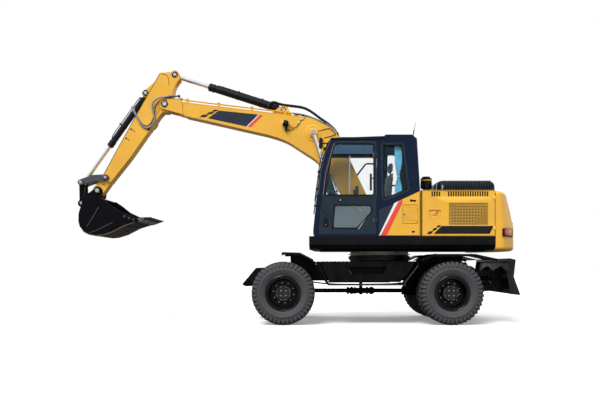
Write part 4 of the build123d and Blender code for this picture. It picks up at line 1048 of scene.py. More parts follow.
# ---- wheels
@dataclass
class TwinTyres:
    """The pair of tyres on each hub, with shoulder lugs and centre blocks round the tread."""

    radius: float = 526.5
    carcass: float = 499.0
    half_width: float = 139.0
    seat: float = 252.5
    bead_half: float = 92.5
    offset: float = 171.0
    lugs: int = 42

    def _sidewall(self) -> list[Point]:
        """Radius and half width from the bead to the tread, with the moulded rings."""
        return [(self.seat, 0.96 * self.bead_half), (286, self.bead_half), (289, 99), (296, 104), (303, 105),
                (306, 110), (330, 122), (334, 126), (342, 126.5), (346, 129), (386, 137), (392, 139.5),
                (400, 139.5), (404, 136), (420, 131), (440, 125), (470, 116), (490, 104), (self.carcass, 84),
                (self.carcass + 1, 40)]

    def _lug(self, item: Sculpt) -> None:
        """One shoulder lug, from the tread down to the upper sidewall."""
        section = ((28, 494), (28, self.radius), (96, self.radius), (124, 508), (136, 474), (139, 440),
                   (130, 432), (96, 480))
        rings = []
        for x, lean in ((-22, 0), (22, 8)):
            rings.append([row(x * (1 if z > 480 else 0.86) + lean * (y < 60), y, z) for y, z in section])
        item.loft(rings, 2.5)

    def _block(self, item: Sculpt) -> None:
        """One slanted block of the tread's middle."""
        low, high = self.carcass - 4, self.radius
        corners = ((-21, -24), (1, 24), (35, 24), (13, -24))
        item.loft([[row(x, y, z) for x, y in corners] for z in (low, high)], 2.5)

    def _tyre(self) -> bpy.types.Mesh:
        """Builds one tyre about the origin."""
        side = self._sidewall()
        profile = [(radius, -half) for radius, half in side]
        profile += [(radius, half) for radius, half in reversed(side)]
        tyre = Sculpt()
        tyre.lathe((-1000 * SLEW_X, 0, 0), profile, 96, closed=True)
        for turn, flip in ((0.0, 1), (180.0 / self.lugs, -1)):
            ring = Repeat(Layout.RING, self.lugs, turn=turn).mesh(at_origin(self._lug), Finish.TYRE)
            if flip < 0:
                mirrored(ring)
            tyre.add(ring)
        blocks = Repeat(Layout.RING, self.lugs, turn=90.0 / self.lugs)
        tyre.add(blocks.mesh(at_origin(self._block), Finish.TYRE))
        return tyre.mesh("tyre")

    def build(self) -> None:
        """Builds the four pairs and puts them in place of their plain rings."""
        tyre = self._tyre()
        for axle, x in AXLES.items():
            for label, side in SIDES:
                pair = Sculpt()
                for offset in (-self.offset, self.offset):
                    pair.add(tyre.copy(), moved(x, side * WHEEL_Y + offset, WHEEL_Z))
                made = pair.piece(f"{axle}_{label}_treads", f"{axle}_{label}_wheel", Finish.TYRE, 30)
                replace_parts(made, f"{axle}_{label}_tyres")
        bpy.data.meshes.remove(tyre)


@dataclass
class WheelFittings:
    """Nuts, studs, hub cap, valve and pressed rings on each pair of rims."""

    nuts: int = 10
    bolt_circle: float = 169.0
    hub_out: float = 175.0

    def _nut(self, item: Sculpt) -> None:
        """A wheel nut on its washer, at the top of the bolt circle."""
        z = self.bolt_circle
        item.rod((0, 12, z), (0, 19, z), 24, 20)
        item.rod((0, 12, z), (0, 46, z), 17, 6, 1.5)

    def _stud(self, item: Sculpt) -> None:
        """The bright end of a wheel stud."""
        item.rod((0, 40, self.bolt_circle), (0, 60, self.bolt_circle), 11, 12, 1.5)

    def _ring_of(self, item: Callable[[Sculpt], None], finish: Finish, centre: Triple, side: int) -> Sculpt:
        """Sets one item round the bolt circle of one wheel."""
        mesh = Repeat(Layout.RING, self.nuts, turn=9).mesh(at_origin(item), finish)
        if side < 0:
            mesh.flip_normals()
        return Sculpt().add(mesh, moved(*centre, turn=Matrix.Diagonal((1, side, 1)).to_3x3()))

    def _hub(self, centre: Triple, side: int, name: str) -> None:
        """Builds one pair's hub cap with its plugs and bolts."""
        end, out = self.hub_out, side * (WHEEL_Y + self.hub_out)
        cap = Sculpt()
        cap.lathe(centre, [(133, end - 40), (137, end - 30), (137, end - 8), (130, end), (112, end + 2),
                           (96, end + 3), (91, end + 8), (40, end + 9), (36, end + 5), (18, end + 5)],
                  48, side)
        cap.piece(f"{name}_hub_cap", f"{name}_wheel", Finish.HUB)
        bolts = Sculpt()
        for count, start, reach, proud, size, tall in ((4, 45, 58, 8, 8, 7), (8, 22.5, 114, 1, 4.5, 5)):
            for angle in spokes(count, start):
                spot = (centre[0] + reach * math.cos(angle), out + side * proud,
                        centre[2] + reach * math.sin(angle))
                bolts.bolt(spot, size, tall, side)
        bolts.piece(f"{name}_hub_bolts", f"{name}_wheel", Finish.STEEL)

    def build(self) -> None:
        """Dresses the four hubs."""
        for axle, x in AXLES.items():
            for label, side in SIDES:
                centre, name = (x, side * WHEEL_Y, WHEEL_Z), f"{axle}_{label}"
                ring = self._ring_of(self._nut, Finish.RIM, centre, side)
                ring.lathe(centre, [(213, 13), (213, 20), (221, 24), (232, 24), (240, 20), (240, 13)],
                           64, side, closed=True)
                ring.lathe(centre, [(139, 13), (139, 30), (143, 34), (147, 30), (147, 13)],
                           64, side, closed=True)
                ring.lathe(centre, [(280, 256), (298, 262), (298, 279), (290, 283), (280, 276)],
                           72, side, closed=True)
                ring.rod((x + 205, centre[1] + side * 12, 560),
                         (x + 216, centre[1] + side * 70, 563), 6, 10, 1)
                ring.piece(f"{name}_nuts", f"{name}_wheel", Finish.RIM)
                studs = self._ring_of(self._stud, Finish.STEEL, centre, side)
                studs.piece(f"{name}_studs", f"{name}_wheel", Finish.STEEL)
                self._hub(centre, side, name)


# ---- cab
# Y of the left side of the cab, the panel behind it and the engine doors.
FACE = 1225.0
# Y of the seat's middle.
SEAT_Y = 775.0
# Sharpest smooth angle in degrees, and largest smooth face in square metres, on a carved sheet.
CARVED_SHADING = (20.0, 0.0004)


@dataclass
class CabTrim:
    """Seals, sliding bars, handles, hinges, wiper and roof fittings of the cab."""

    door_window: tuple[Point, ...] = ((205, 2156), (1020, 2156), (985, 2480), (862, 2960),
                                      (830, 2998), (205, 2998))
    low_window: tuple[Point, ...] = ((877, 1610), (846, 1984), (248, 1984), (240, 1880), (479, 1610))
    rear_window: tuple[Point, ...] = ((42, 2975), (-254, 2975), (-346, 2255), (30, 2098))
    right_window: tuple[Point, ...] = ((60, 2160), (985, 2160), (880, 2900), (60, 2900))
    right_rear_window: tuple[Point, ...] = ((-112, 2944), (-246, 2944), (-328, 2255), (-112, 2164))
    front_line: tuple[Point, ...] = ((1190, 1545), (1193, 1600), (1093, 2567), (976, 2995), (950, 3042))
    seal: float = 18.0
    right_face: float = 325.0
    pillars_y: Point = (398.0, 1152.0)
    back_x: float = -566.0
    back_z: float = 2201.0
    back_lean: float = 55 / 885
    lamps_z: Point = (2975.0, 3060.0)
    lamps_y: float = 1155.0
    antenna_y: float = 1090.0

    def _seals(self) -> None:
        """Rubber round every window, a film on the low pane that is a painted reflection, a tinted band and
        the sliding pane's edge.
        """
        door = Sculpt()
        for outline in (self.door_window, self.low_window):
            door.frame(rounded(inset(outline, -12), 52), self.seal, FACE - 8, FACE + 4)
        door.strip([(849, 2822), (227, 2822)], 24, FACE - 19, FACE - 8)
        door.piece("door_seals", "cab_door", Finish.SEAL)
        # A film over the low pane: a painted reflection on the glass.
        film = Sculpt().plate(rounded(inset(self.low_window, 4), 40), FACE - 7, FACE - 6)
        film.piece("low_pane_film", "cab_door", Finish.REFLECTION_GLASS)
        top = [(214, 2836), (890, 2836), (855, 2956), (826, 2988), (214, 2988)]
        band = Sculpt().plate(rounded(top, 20), FACE - 7, FACE - 6)
        band.piece("sun_band", "cab_door", Finish.BAND_GLASS)
        edge = Sculpt().strip([(598, 2806), (601, 2170)], 18, FACE - 28, FACE - 19)
        edge.piece("sliding_pane_edge", "cab_door", Finish.GLASS_EDGE)
        shell = Sculpt()
        shell.frame(rounded(inset(self.rear_window, -10), 46), 14, FACE - 10, FACE + 2)
        raised = Sculpt().frame(rounded(inset(self.rear_window, -46), 70), 36, FACE - 6, FACE + 5)
        raised.piece("rear_window_frame", "upper", Finish.DOOR)
        for outline in (self.right_window, self.right_rear_window):
            shell.frame(rounded(inset(outline, -12), 52), self.seal, self.right_face - 5, self.right_face + 5)
        outer = rounded(inset(rect(445, 2330, 1105, 2930), -20), 60)
        rings = []
        for edge, depth in ((outer, 0), (outer, -12), (inset(outer, 30), -12), (inset(outer, 30), 0)):
            rings.append([row(self.back_x + (z - self.back_z) * self.back_lean + depth, y, z)
                          for y, z in edge])
        shell.loft(rings, closed=True)
        right, left = self.pillars_y
        for middle in self.pillars_y:
            shell.loft([[row(x + step, y, z) for step, y in rect(-6, middle - 16, 7, middle + 16)]
                        for x, z in self.front_line])
        for x, z in ((1194, 1552), (955, 3036)):
            shell.box((x - 8, right, z - 14), (x + 6, left, z + 14), 3)
        shell.piece("cab_seals", "upper", Finish.SEAL)

    def _door(self) -> None:
        """Handle, lock, hinges and bright parts on the door, with a warm strip along its front edge that is a
        painted highlight and a steel strip under the low window that is a painted reflection.
        """
        handle = Sculpt()
        contour = [(1090, 2134), (1055, 2134), (1060, 1905), (1029, 1864), (946, 1813), (901, 1762),
                   (888, 1684), (885, 1560)]
        handle.tube([(x, FACE + 1, z) for x, z in contour], 5, 8)
        handle.tube([(x, FACE + 1, z) for x, z in ((194, 1800), (349, 1768), (451, 1630), (520, 1560))], 4, 8)
        handle.frame(rounded(rect(1036, 1780, 950, 1626), 22), 10, FACE - 2, FACE + 6)
        handle.plate(rounded(rect(1024, 1768, 962, 1640), 14), FACE - 6, FACE + 1)
        handle.plate(rounded(rect(1006, 1764, 986, 1652), 8), FACE, FACE + 16, 3)
        handle.plate(rounded(rect(782, 2092, 724, 2042), 22), FACE - 2, FACE + 9, 3)
        for z in (1714, 2794):
            handle.rod((140, 1234, z - 22), (140, 1234, z + 68), 9.5, 16, 1)
            handle.plate(rounded([(146, z - 16), (146, z + 44), (232, z + 34), (232, z - 6)], 12),
                         FACE, FACE + 9, 2)
        handle.piece("door_handle", "cab_door", Finish.PLAIN_BLACK)
        bright = Sculpt()
        # A steel strip under the low window's slanted edge: a painted reflection on the window's chamfer.
        bright.strip([(350, 1746), (458, 1588)], 14, FACE, FACE + 3)
        bright.rod((753, FACE + 6, 2067), (753, FACE + 12, 2067), 12, 20, 1)
        bright.rod((994, FACE, 1664), (994, FACE + 18, 1664), 7, 14, 1)
        for z in (1712, 1752, 2790, 2832):
            bright.bolt((206, FACE + 9, z), 6, 5)
        bright.piece("door_bright_parts", "cab_door", Finish.STEEL)
        # A warm strip along the door's front edge: a painted highlight of the window frame.
        edge_highlight = Sculpt()
        edge_highlight.strip([(845, 3002), (872, 2968), (995, 2500), (1018, 2330), (1038, 2162)], 13, FACE, FACE + 6)
        edge_highlight.piece("door_gasket", "cab_door", Finish.HIGHLIGHT_AND_GRIP)

    def _front(self) -> None:
        """A painted highlight strip on the pillar, wiper and its arm, and the lamps' lenses and bracket."""
        # A pale strip along the outer pillar: a painted highlight on its edge.
        painted_highlight = Sculpt()
        painted_highlight.strip([(918, 3056), (1000, 2860), (1072, 2566), (1118, 2160)], 11, FACE, FACE + 5)
        painted_highlight.piece("pillar_strip", "upper", Finish.LINK)
        wiper = Sculpt()
        wiper.tube([(1010, 800, 2975), (1063, 830, 2863), (1100, 870, 2640), (1140, 900, 2362),
                    (1176, 915, 2080)], 7, 8)
        wiper.tube([(1092, 900, 2700), (1108, 905, 2600), (1150, 910, 2200), (1190, 915, 1860)], 9, 8)
        wiper.rod((985, 800, 2985), (1030, 800, 2985), 26, 20, 3)
        for z, out in ((2150, 16), (2480, 14)):
            wiper.box((1132 - (z - 2150) * 0.12, 890, z), (1156 - (z - 2150) * 0.12 + out, 916, z + 26), 3)
        for z, x in ((1960, 1158), (2240, 1130), (2520, 1100)):
            wiper.box((x, 1170, z), (x + 30, 1206, z + 34), 4)
        wiper.piece("wiper", "upper", Finish.PLAIN_BLACK)
        lens, shells = Sculpt(), Sculpt()
        y = self.lamps_y
        for z in self.lamps_z:
            lens.rod((1104, y, z), (1109, y, z), 30, 24, 2)
            shells.rod((1100, y, z), (1107, y, z), 36, 24, 2)
            for rib in range(4):
                shells.box((1046 - rib * 7, y - 35, z - 26), (1049 - rib * 7, y + 35, z + 26), 1)
            shells.rod((1060, y + 61, z), (1060, y + 67, z), 12, 6, 1)
        lens.piece("cab_lamp_lenses", "upper", Finish.LAMP_CLEAR)
        shells.piece("cab_lamp_bodies", "upper", Finish.PLAIN_BLACK)

    def _roof(self) -> None:
        """Antenna, roof bolts, gutter and hatch seal."""
        roof = Sculpt()
        y = self.antenna_y
        roof.rod((-455, y, 3085), (-482, y, 3251), 9, 12, 1)
        roof.rod((-482, y, 3251), (-504, y, 3361), 3.5, 8)
        roof.rod((-452, y, 3120), (-455, y, 3158), 22, 16, 2)
        roof.strip([(905, 3085), (840, 3078), (160, 3082), (20, 3108)], 10, FACE - 4, FACE + 12)
        hatch = rounded(rect(236, 506, 764, 1044), 60)
        roof.collar(hatch, inset(hatch, 30), 3108, 3142)
        roof.piece("roof_fittings", "upper", Finish.SEAL)
        bolts = Sculpt()
        for x, z in ((-406, 3030), (-470, 2600), (-508, 2330)):
            Sculpt().bolt((x, FACE, z), 9, 6).piece(f"cab_screw_{z}", "upper", Finish.SEAL)
        for x in (-380, -60, 900):
            for y in (380, 1170):
                bolts.rod((x, y, 3096), (x, y, 3158 if x < 0 else 3112), 14, 6, 1)
        bolts.piece("roof_bolts", "upper", Finish.STEEL)

    def _inside(self) -> None:
        """Monitor, switch panel, lever knobs and pedals that show through the glass."""
        inside = Sculpt()
        inside.box((905, 560, 2180), (935, 800, 2360), 14)
        inside.rod((930, 640, 2050), (920, 660, 2200), 14, 12)
        for side in (LEFT, RIGHT):
            y = SEAT_Y + side * 290
            inside.lathe((470, y, 2296), [(26, -26), (30, -8), (24, 16), (10, 26)], 20)
            inside.box((60, y - 52, 2090), (430, y + 52, 2106), 8)
            for index in range(5):
                inside.rod((120 + 60 * index, y - 20, 2104), (120 + 60 * index, y - 20, 2120), 12, 14, 2)
        for y in (640, SEAT_Y, 900):
            inside.box((930, y - 40, 1560), (1010, y + 40, 1580), 6)
            inside.rod((960, y, 1540), (1030, y, 1640), 9, 10)
        inside.piece("cab_controls", "upper", Finish.TRIM)
        screen = Sculpt().box((899, 575, 2198), (904, 785, 2344), 2)
        screen.piece("monitor_screen", "upper", Finish.GLASS)

    def build(self) -> None:
        """Builds all of it."""
        self._seals()
        self._door()
        self._front()
        self._roof()
        self._inside()


@dataclass
class SidePanel:
    """Stripes, clips and the louvred filter hatch behind the cab's door."""

    navy: tuple[Point, ...] = ((117, 1482), (117, 1903), (-40, 1973), (-137, 2018))
    white: tuple[Point, ...] = ((117, 1482), (-137, 2018), (-206, 2051), (92, 1482))
    red: tuple[Point, ...] = ((92, 1482), (-206, 2051), (-272, 2080), (-272, 2022), (-12, 1482))
    louvres: int = 9
    pitch: float = 31.0
    first_louvre: Point = (-412.0, 1732.0)
    lock: Point = (-300.0, 1835.0)

    def _slat(self, item: Sculpt) -> None:
        """The gap above one louvre."""
        item.plate(rounded(rect(-88, -3.5, 88, 3.5), 3, 3), 1206, 1240)

    def _tongue(self, item: Sculpt) -> None:
        """One louvre's lip, leaning out under its gap."""
        item.loft([[row(x, 1222, 3), row(x, 1228, 1), row(x, 1228, 4), row(x, 1222, 12)] for x in (-86, 86)])

    def build(self) -> None:
        """Builds the film, the hatch and its lock."""
        for name, outline, finish, out in (("navy_stripe", self.navy, Finish.DECAL_NAVY, 0.8),
                                           ("white_stripe", self.white, Finish.WHITE, 1.2),
                                           ("red_stripe", self.red, Finish.RED, 1.0)):
            Sculpt().plate(outline, FACE - 0.5, FACE + out).piece(name, "upper", finish)
        rim = Sculpt().strip([(119, 1480), (119, 1906), (-40, 1977), (-139, 2021)], 7, FACE - 38, FACE + 1)
        rim.piece("navy_stripe_rim", "upper", Finish.NAVY)
        grid = Repeat(Layout.GRID, self.louvres, columns=1, step_z=self.pitch)
        place = moved(self.first_louvre[0], 0, self.first_louvre[1])
        hatch = carved("filter_hatch", Sculpt().add(grid.mesh(at_origin(self._slat), Finish.YELLOW), place))
        hatch.add(grid.mesh(at_origin(self._tongue), Finish.YELLOW), place)
        hatch.frame(rounded(rect(-284, 1690, -517, 1989), 24), 7, FACE, FACE + 2)
        piece = hatch.piece("louvred_hatch", "filter_hatch", Finish.YELLOW, *CARVED_SHADING)
        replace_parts(piece, "filter_hatch")
        # A dark sheet behind the louvre gaps: painted shade inside the hatch.
        shade_sheet = Sculpt().box((-500, 1199.5, 1700), (-322, 1203, 1975))
        shade_sheet.piece("hatch_backing", "filter_hatch", Finish.SEAL)
        x, z = self.lock
        lock = Sculpt().lathe((x, FACE, z), [(15, 0), (15, 4), (12, 7), (5, 7)], 24)
        lock.piece("hatch_lock", "filter_hatch", Finish.LOCK_BLUE)
        clips = Sculpt()
        for x, z, half in ((-468, 2059, 30), (-450, 1547, 26)):
            clips.plate(rounded(rect(x - half, z - 15, x + half, z + 15), 14), FACE - 1, FACE + 2, 0.8)
        clips.plate(rounded(rect(-438, 2044, -396, 2082), 18), FACE - 1, FACE + 4, 1)
        clips.piece("panel_clips", "upper", Finish.SEAL)
        seams = Sculpt()
        seams.strip([(-552, 1486), (-552, 2200)], 5, FACE - 1, FACE + 1.5)
        seams.strip([(112, 1484), (-550, 1484)], 6, FACE - 1, FACE + 1.5)
        seams.piece("panel_seams", "upper", Finish.SEAL)


# ---- engine bay
@dataclass
class BayDoors:
    """The two engine doors: slots, a lattice in a darker yellow that is painted shade, with the radiator
    behind it, a latch and a dark band; dark sheets behind the slots and the grille and dark squares on the
    lattice's corner sheets are painted shade.
    """

    slots: tuple[tuple[float, int], ...] = ((-764, 4), (-1037, 17))
    pitch: float = 40.0
    slot_z: Point = (2128, 2211)
    grille_x: Point = (-1682, -1040)
    grille_z: Point = (1663, 2024)
    mesh_pitch: float = 48.5
    dot_pitch: float = 24.5
    shade_sheet_y: Point = (1188.0, 1196.0)
    screen_y: Point = (1197.0, 1203.0)
    band: tuple[Point, ...] = ((-785, 1511), (-917, 1643), (-1779, 1643), (-1713, 1511))

    def _slot(self, item: Sculpt) -> None:
        """One upright slot with round ends."""
        half = (self.slot_z[1] - self.slot_z[0]) / 2
        item.plate(rounded(rect(-13, -half, 13, half), 12, 4), 1204, 1240)

    def _bar(self, item: Sculpt) -> None:
        """One upright bar of the lattice."""
        tall = (self.grille_z[1] - self.grille_z[0]) / 2
        item.plate(rect(-12, -tall, 12, tall), 1217, 1222)

    def _cross(self, item: Sculpt) -> None:
        """One level bar of the lattice."""
        wide = (self.grille_x[1] - self.grille_x[0]) / 2
        item.plate(rect(-wide, -12, wide, 12), 1216, 1221)

    def _flip(self, sculpt: Sculpt, side: int) -> Sculpt:
        """Turns a left-hand piece into a right-hand one."""
        if side < 0:
            bmesh.ops.scale(sculpt.bm, vec=(1, -1, 1), verts=sculpt.bm.verts)
            bmesh.ops.reverse_faces(sculpt.bm, faces=sculpt.bm.faces)
        return sculpt

    def _cutter(self) -> Sculpt:
        """Everything cut out of the left door."""
        cutter = Sculpt()
        for x, count in self.slots:
            run = Repeat(Layout.GRID, count, columns=count, step_x=-self.pitch)
            cutter.add(run.mesh(at_origin(self._slot), Finish.YELLOW), moved(x, 0, sum(self.slot_z) / 2))
        (x_low, x_high), (z_low, z_high) = self.grille_x, self.grille_z
        cutter.box((x_low, 1212, z_low), (x_high, 1240, z_high))
        cutter.plate(rounded(rect(-905, 1789, -711, 1909), 16), 1207, 1240)
        return cutter

    def _lattice(self) -> Sculpt:
        """The grille's crossed bars and its edge."""
        lattice = Sculpt()
        (x_low, x_high), (z_low, z_high) = self.grille_x, self.grille_z
        columns = int((x_high - x_low) / self.mesh_pitch)
        rows = int((z_high - z_low) / self.mesh_pitch)
        upright = Repeat(Layout.GRID, columns, columns=columns, step_x=self.mesh_pitch)
        level = Repeat(Layout.GRID, rows, columns=1, step_z=self.mesh_pitch)
        middle_x, middle_z = (x_low + x_high) / 2, (z_low + z_high) / 2
        start_x = middle_x - (columns - 1) * self.mesh_pitch / 2
        start_z = middle_z - (rows - 1) * self.mesh_pitch / 2
        lattice.add(upright.mesh(at_origin(self._bar), Finish.YELLOW), moved(start_x, 0, middle_z))
        lattice.add(level.mesh(at_origin(self._cross), Finish.YELLOW), moved(middle_x, 0, start_z))
        outline = rect(x_low - 4, z_low - 4, x_high + 4, z_high + 4)
        lattice.frame(rounded(outline, 12), 12, 1216, FACE + 1.5)
        return lattice

    def _door(self, name: str, side: int) -> None:
        """Builds one door and what it carries."""
        body, turn = f"{name}_bay_door", (lambda piece: self._flip(piece, side))
        door = carved(body, turn(self._cutter()))
        door.frame(rounded(rect(-918, 1776, -698, 1922), 22), 13, side * (FACE - 1), side * (FACE + 2))
        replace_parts(door.piece(f"{name}_door_panel", body, Finish.YELLOW, *CARVED_SHADING), body)
        # The lattice wears the darker yellow as painted shade in the recess.
        turn(self._lattice()).piece(f"{name}_door_lattice", body, Finish.LATTICE)
        # Dark sheets behind the slots and behind the grille: painted shade inside the door.
        dark = Sculpt()
        dark.box((-1704, 1203, 2122), (-1008, 1206, 2217)).box((-924, 1203, 2122), (-726, 1206, 2217))
        (x_low, x_high), (z_low, z_high) = self.grille_x, self.grille_z
        dark.box((x_low - 2, self.shade_sheet_y[0], z_low - 2), (x_high + 2, self.shade_sheet_y[1], z_high + 2))
        turn(dark).piece(f"{name}_door_backing", body, Finish.SEAL)
        core = [(-1205, 2020), (-1045, 1830), (-1045, 1668), (-1480, 1668), (-1678, 1880), (-1678, 2020)]
        turn(Sculpt().plate(core, *self.screen_y)).piece(f"{name}_door_screen", body, Finish.RADIATOR)
        film = Sculpt().plate(self.band, FACE - 0.5, FACE + 1)
        for x_low, x_high, z_low, z_high in ((-768, -672, 1508, 1556), (-838, -756, 1565, 1611),
                                             (-898, -826, 1618, 1655)):
            lean = (z_high - z_low) * 0.9
            film.plate([(x_high, z_low), (x_high - lean, z_high), (x_low - lean * 0.4, z_high),
                        (x_low + lean * 0.6, z_low)], FACE - 0.5, FACE + 1)
        turn(film).piece(f"{name}_door_band", body, Finish.BAND)
        tray = Sculpt().box((-904, 1206.5, 1790), (-712, 1209, 1908))
        tray.plate(rounded(rect(-862, 1822, -762, 1878), 12), 1208, 1217, 3)
        turn(tray).piece(f"{name}_latch_tray", body, Finish.YELLOW)
        latch = Sculpt().rod((-806, 1214, 1846), (-806, 1224, 1846), 15, 24, 2)
        for x, z in ((-884, 1808), (-732, 1808), (-732, 1890), (-884, 1890)):
            latch.rod((x, 1208, z), (x, 1214, z), 8, 12, 1)
        turn(latch).piece(f"{name}_door_latch", body, Finish.STEEL)
        grip = rounded([(-852, 1842), (-826, 1842), (-836, 1884), (-858, 1884)], 8)
        turn(Sculpt().plate(grip, 1215, 1222, 2)).piece(f"{name}_latch_grip", body, Finish.HIGHLIGHT_AND_GRIP)
        # Dark squares on the corner sheets stand for holes: painted shade in the holes.
        sheet, dots = Sculpt(), Sculpt()
        for corner_x, corner_z, way, reach in ((self.grille_x[1], self.grille_z[1], 1, 158),
                                               (self.grille_x[0], self.grille_z[0], -1, 250)):
            sheet.plate([(corner_x, corner_z), (corner_x - way * reach, corner_z),
                         (corner_x, corner_z - way * reach)], 1221, 1223.5)
            rows = int(reach / self.dot_pitch)
            for line in range(rows):
                for column in range(rows - line - 1):
                    if (line + column) % 2 == 0:
                        x = corner_x - way * self.dot_pitch * (column + 0.6)
                        z = corner_z - way * self.dot_pitch * (line + 0.6)
                        dots.box((x - 12.5, 1223, z - 12.5), (x + 12.5, 1224.5, z + 12.5))
        turn(sheet).piece(f"{name}_lattice_corners", body, Finish.YELLOW)
        turn(dots).piece(f"{name}_lattice_holes", body, Finish.SEAL)
        seams = Sculpt().frame(rect(-1800, 1484, -600, 2230), 4, FACE - 1, FACE + 1)
        turn(seams).piece(f"{name}_door_edge", body, Finish.SEAL)

    def build(self) -> None:
        """Builds both doors."""
        for name, side in SIDES:
            self._door(name, side)


@dataclass
class HoodDetails:
    """Pressed ribs in a lighter paint that is a painted highlight, pads, latches and the air cleaner's bands
    on top of the engine, and a pale rod and bend at the hood's front that is a painted reflection.
    """

    ribs: int = 19
    pitch: float = 43.0
    half_width: float = 1100.0
    top: float = 2412.0
    corner: float = 100.0
    first_rib: float = -985.0
    cleaner: Point = (-735.0, 760.0)
    cleaner_radius: float = 96.0

    def _rib(self, item: Sculpt) -> None:
        """One upright rib that runs up the hood's side and over its rounded edge."""
        y, z, bend = self.half_width, self.top - self.corner, self.half_width - self.corner
        line = [(y, 2250, 0.0), (y, z, 0.0)]
        for angle in map(math.radians, (22.5, 45, 67.5, 90)):
            line.append((bend + self.corner * math.cos(angle), z + self.corner * math.sin(angle), angle))
        line.append((bend - 70, self.top, math.radians(90)))
        rings = []
        for index, (side, height, angle) in enumerate(line):
            out = 1.0 if index in (0, len(line) - 1) else 9.0
            ring = []
            for x, lift in ((-11, -2), (-8, out), (8, out), (11, -2)):
                ring.append(row(x, side + lift * math.cos(angle), height + lift * math.sin(angle)))
            rings.append(ring)
        item.loft(rings)

    def build(self) -> None:
        """Builds the hood's and the air cleaner's details."""
        hood = Sculpt()
        for side in (LEFT, RIGHT):
            run = Repeat(Layout.GRID, self.ribs, columns=self.ribs, step_x=-self.pitch)
            mesh = run.mesh(at_origin(self._rib), Finish.HOOD)
            hood.add(mirrored(mesh) if side < 0 else mesh, moved(self.first_rib, 0, 0))
        pads = Sculpt()
        for y in (-520, 0, 520):
            pads.box((-1640, y - 110, 2411), (-1080, y + 110, 2419), 3)
        pads.piece("hood_pads", "engine_hood", Finish.HOOD)
        # The ribs wear the lighter paint as a painted highlight.
        hood.piece("hood_ribs", "engine_hood", Finish.HOOD_RIB_HIGHLIGHT)
        latch, painted_highlight = Sculpt(), Sculpt()
        for side in (LEFT, RIGHT):
            low, high = side * 1098, side * 1112
            latch.plate([(-936, 2256), (-960, 2256), (-966, 2330), (-944, 2330)], low, high, 3)
            # The pale rod and bend at the hood's front are a painted reflection on its rounded front edge.
            painted_highlight.rod((-862, side * 1040, 2246), (-866, side * 1040, 2330), 11, 12, 2)
            painted_highlight.tube([(-866, side * 1040, 2326), (-878, side * 1034, 2366), (-915, side * 1022, 2394)],
                      11, 10)
        latch.piece("hood_latches", "engine_hood", Finish.STEEL)
        painted_highlight.piece("hood_grab_bars", "engine_hood", Finish.HOSE)
        cleaner, band, (x, y) = Sculpt(), Sculpt(), self.cleaner
        for z in (2318, 2400, 2468):
            cleaner.rod((x, y, z), (x, y, z + 8), self.cleaner_radius + 2, 40, 2)
        cleaner.rod((x, y, 2500), (x, y, 2516), 12, 16, 3)
        for rib_x, rib_y in oval(self.cleaner, self.cleaner_radius, self.cleaner_radius, 18):
            cleaner.rod((rib_x, rib_y, 2326), (rib_x, rib_y, 2398), 3, 6)
        band.rod((x, y, 2436), (x, y, 2452), self.cleaner_radius + 1, 40, 1)
        cleaner.piece("air_cleaner_bands", "upper", Finish.PLAIN_BLACK)
        band.piece("air_cleaner_stripe", "upper", Finish.YELLOW)
        seam = Sculpt().box((-1806, -1098, 2233), (-840, 1098, 2238.2))
        seam.piece("deck_gasket", "upper", Finish.SEAL)


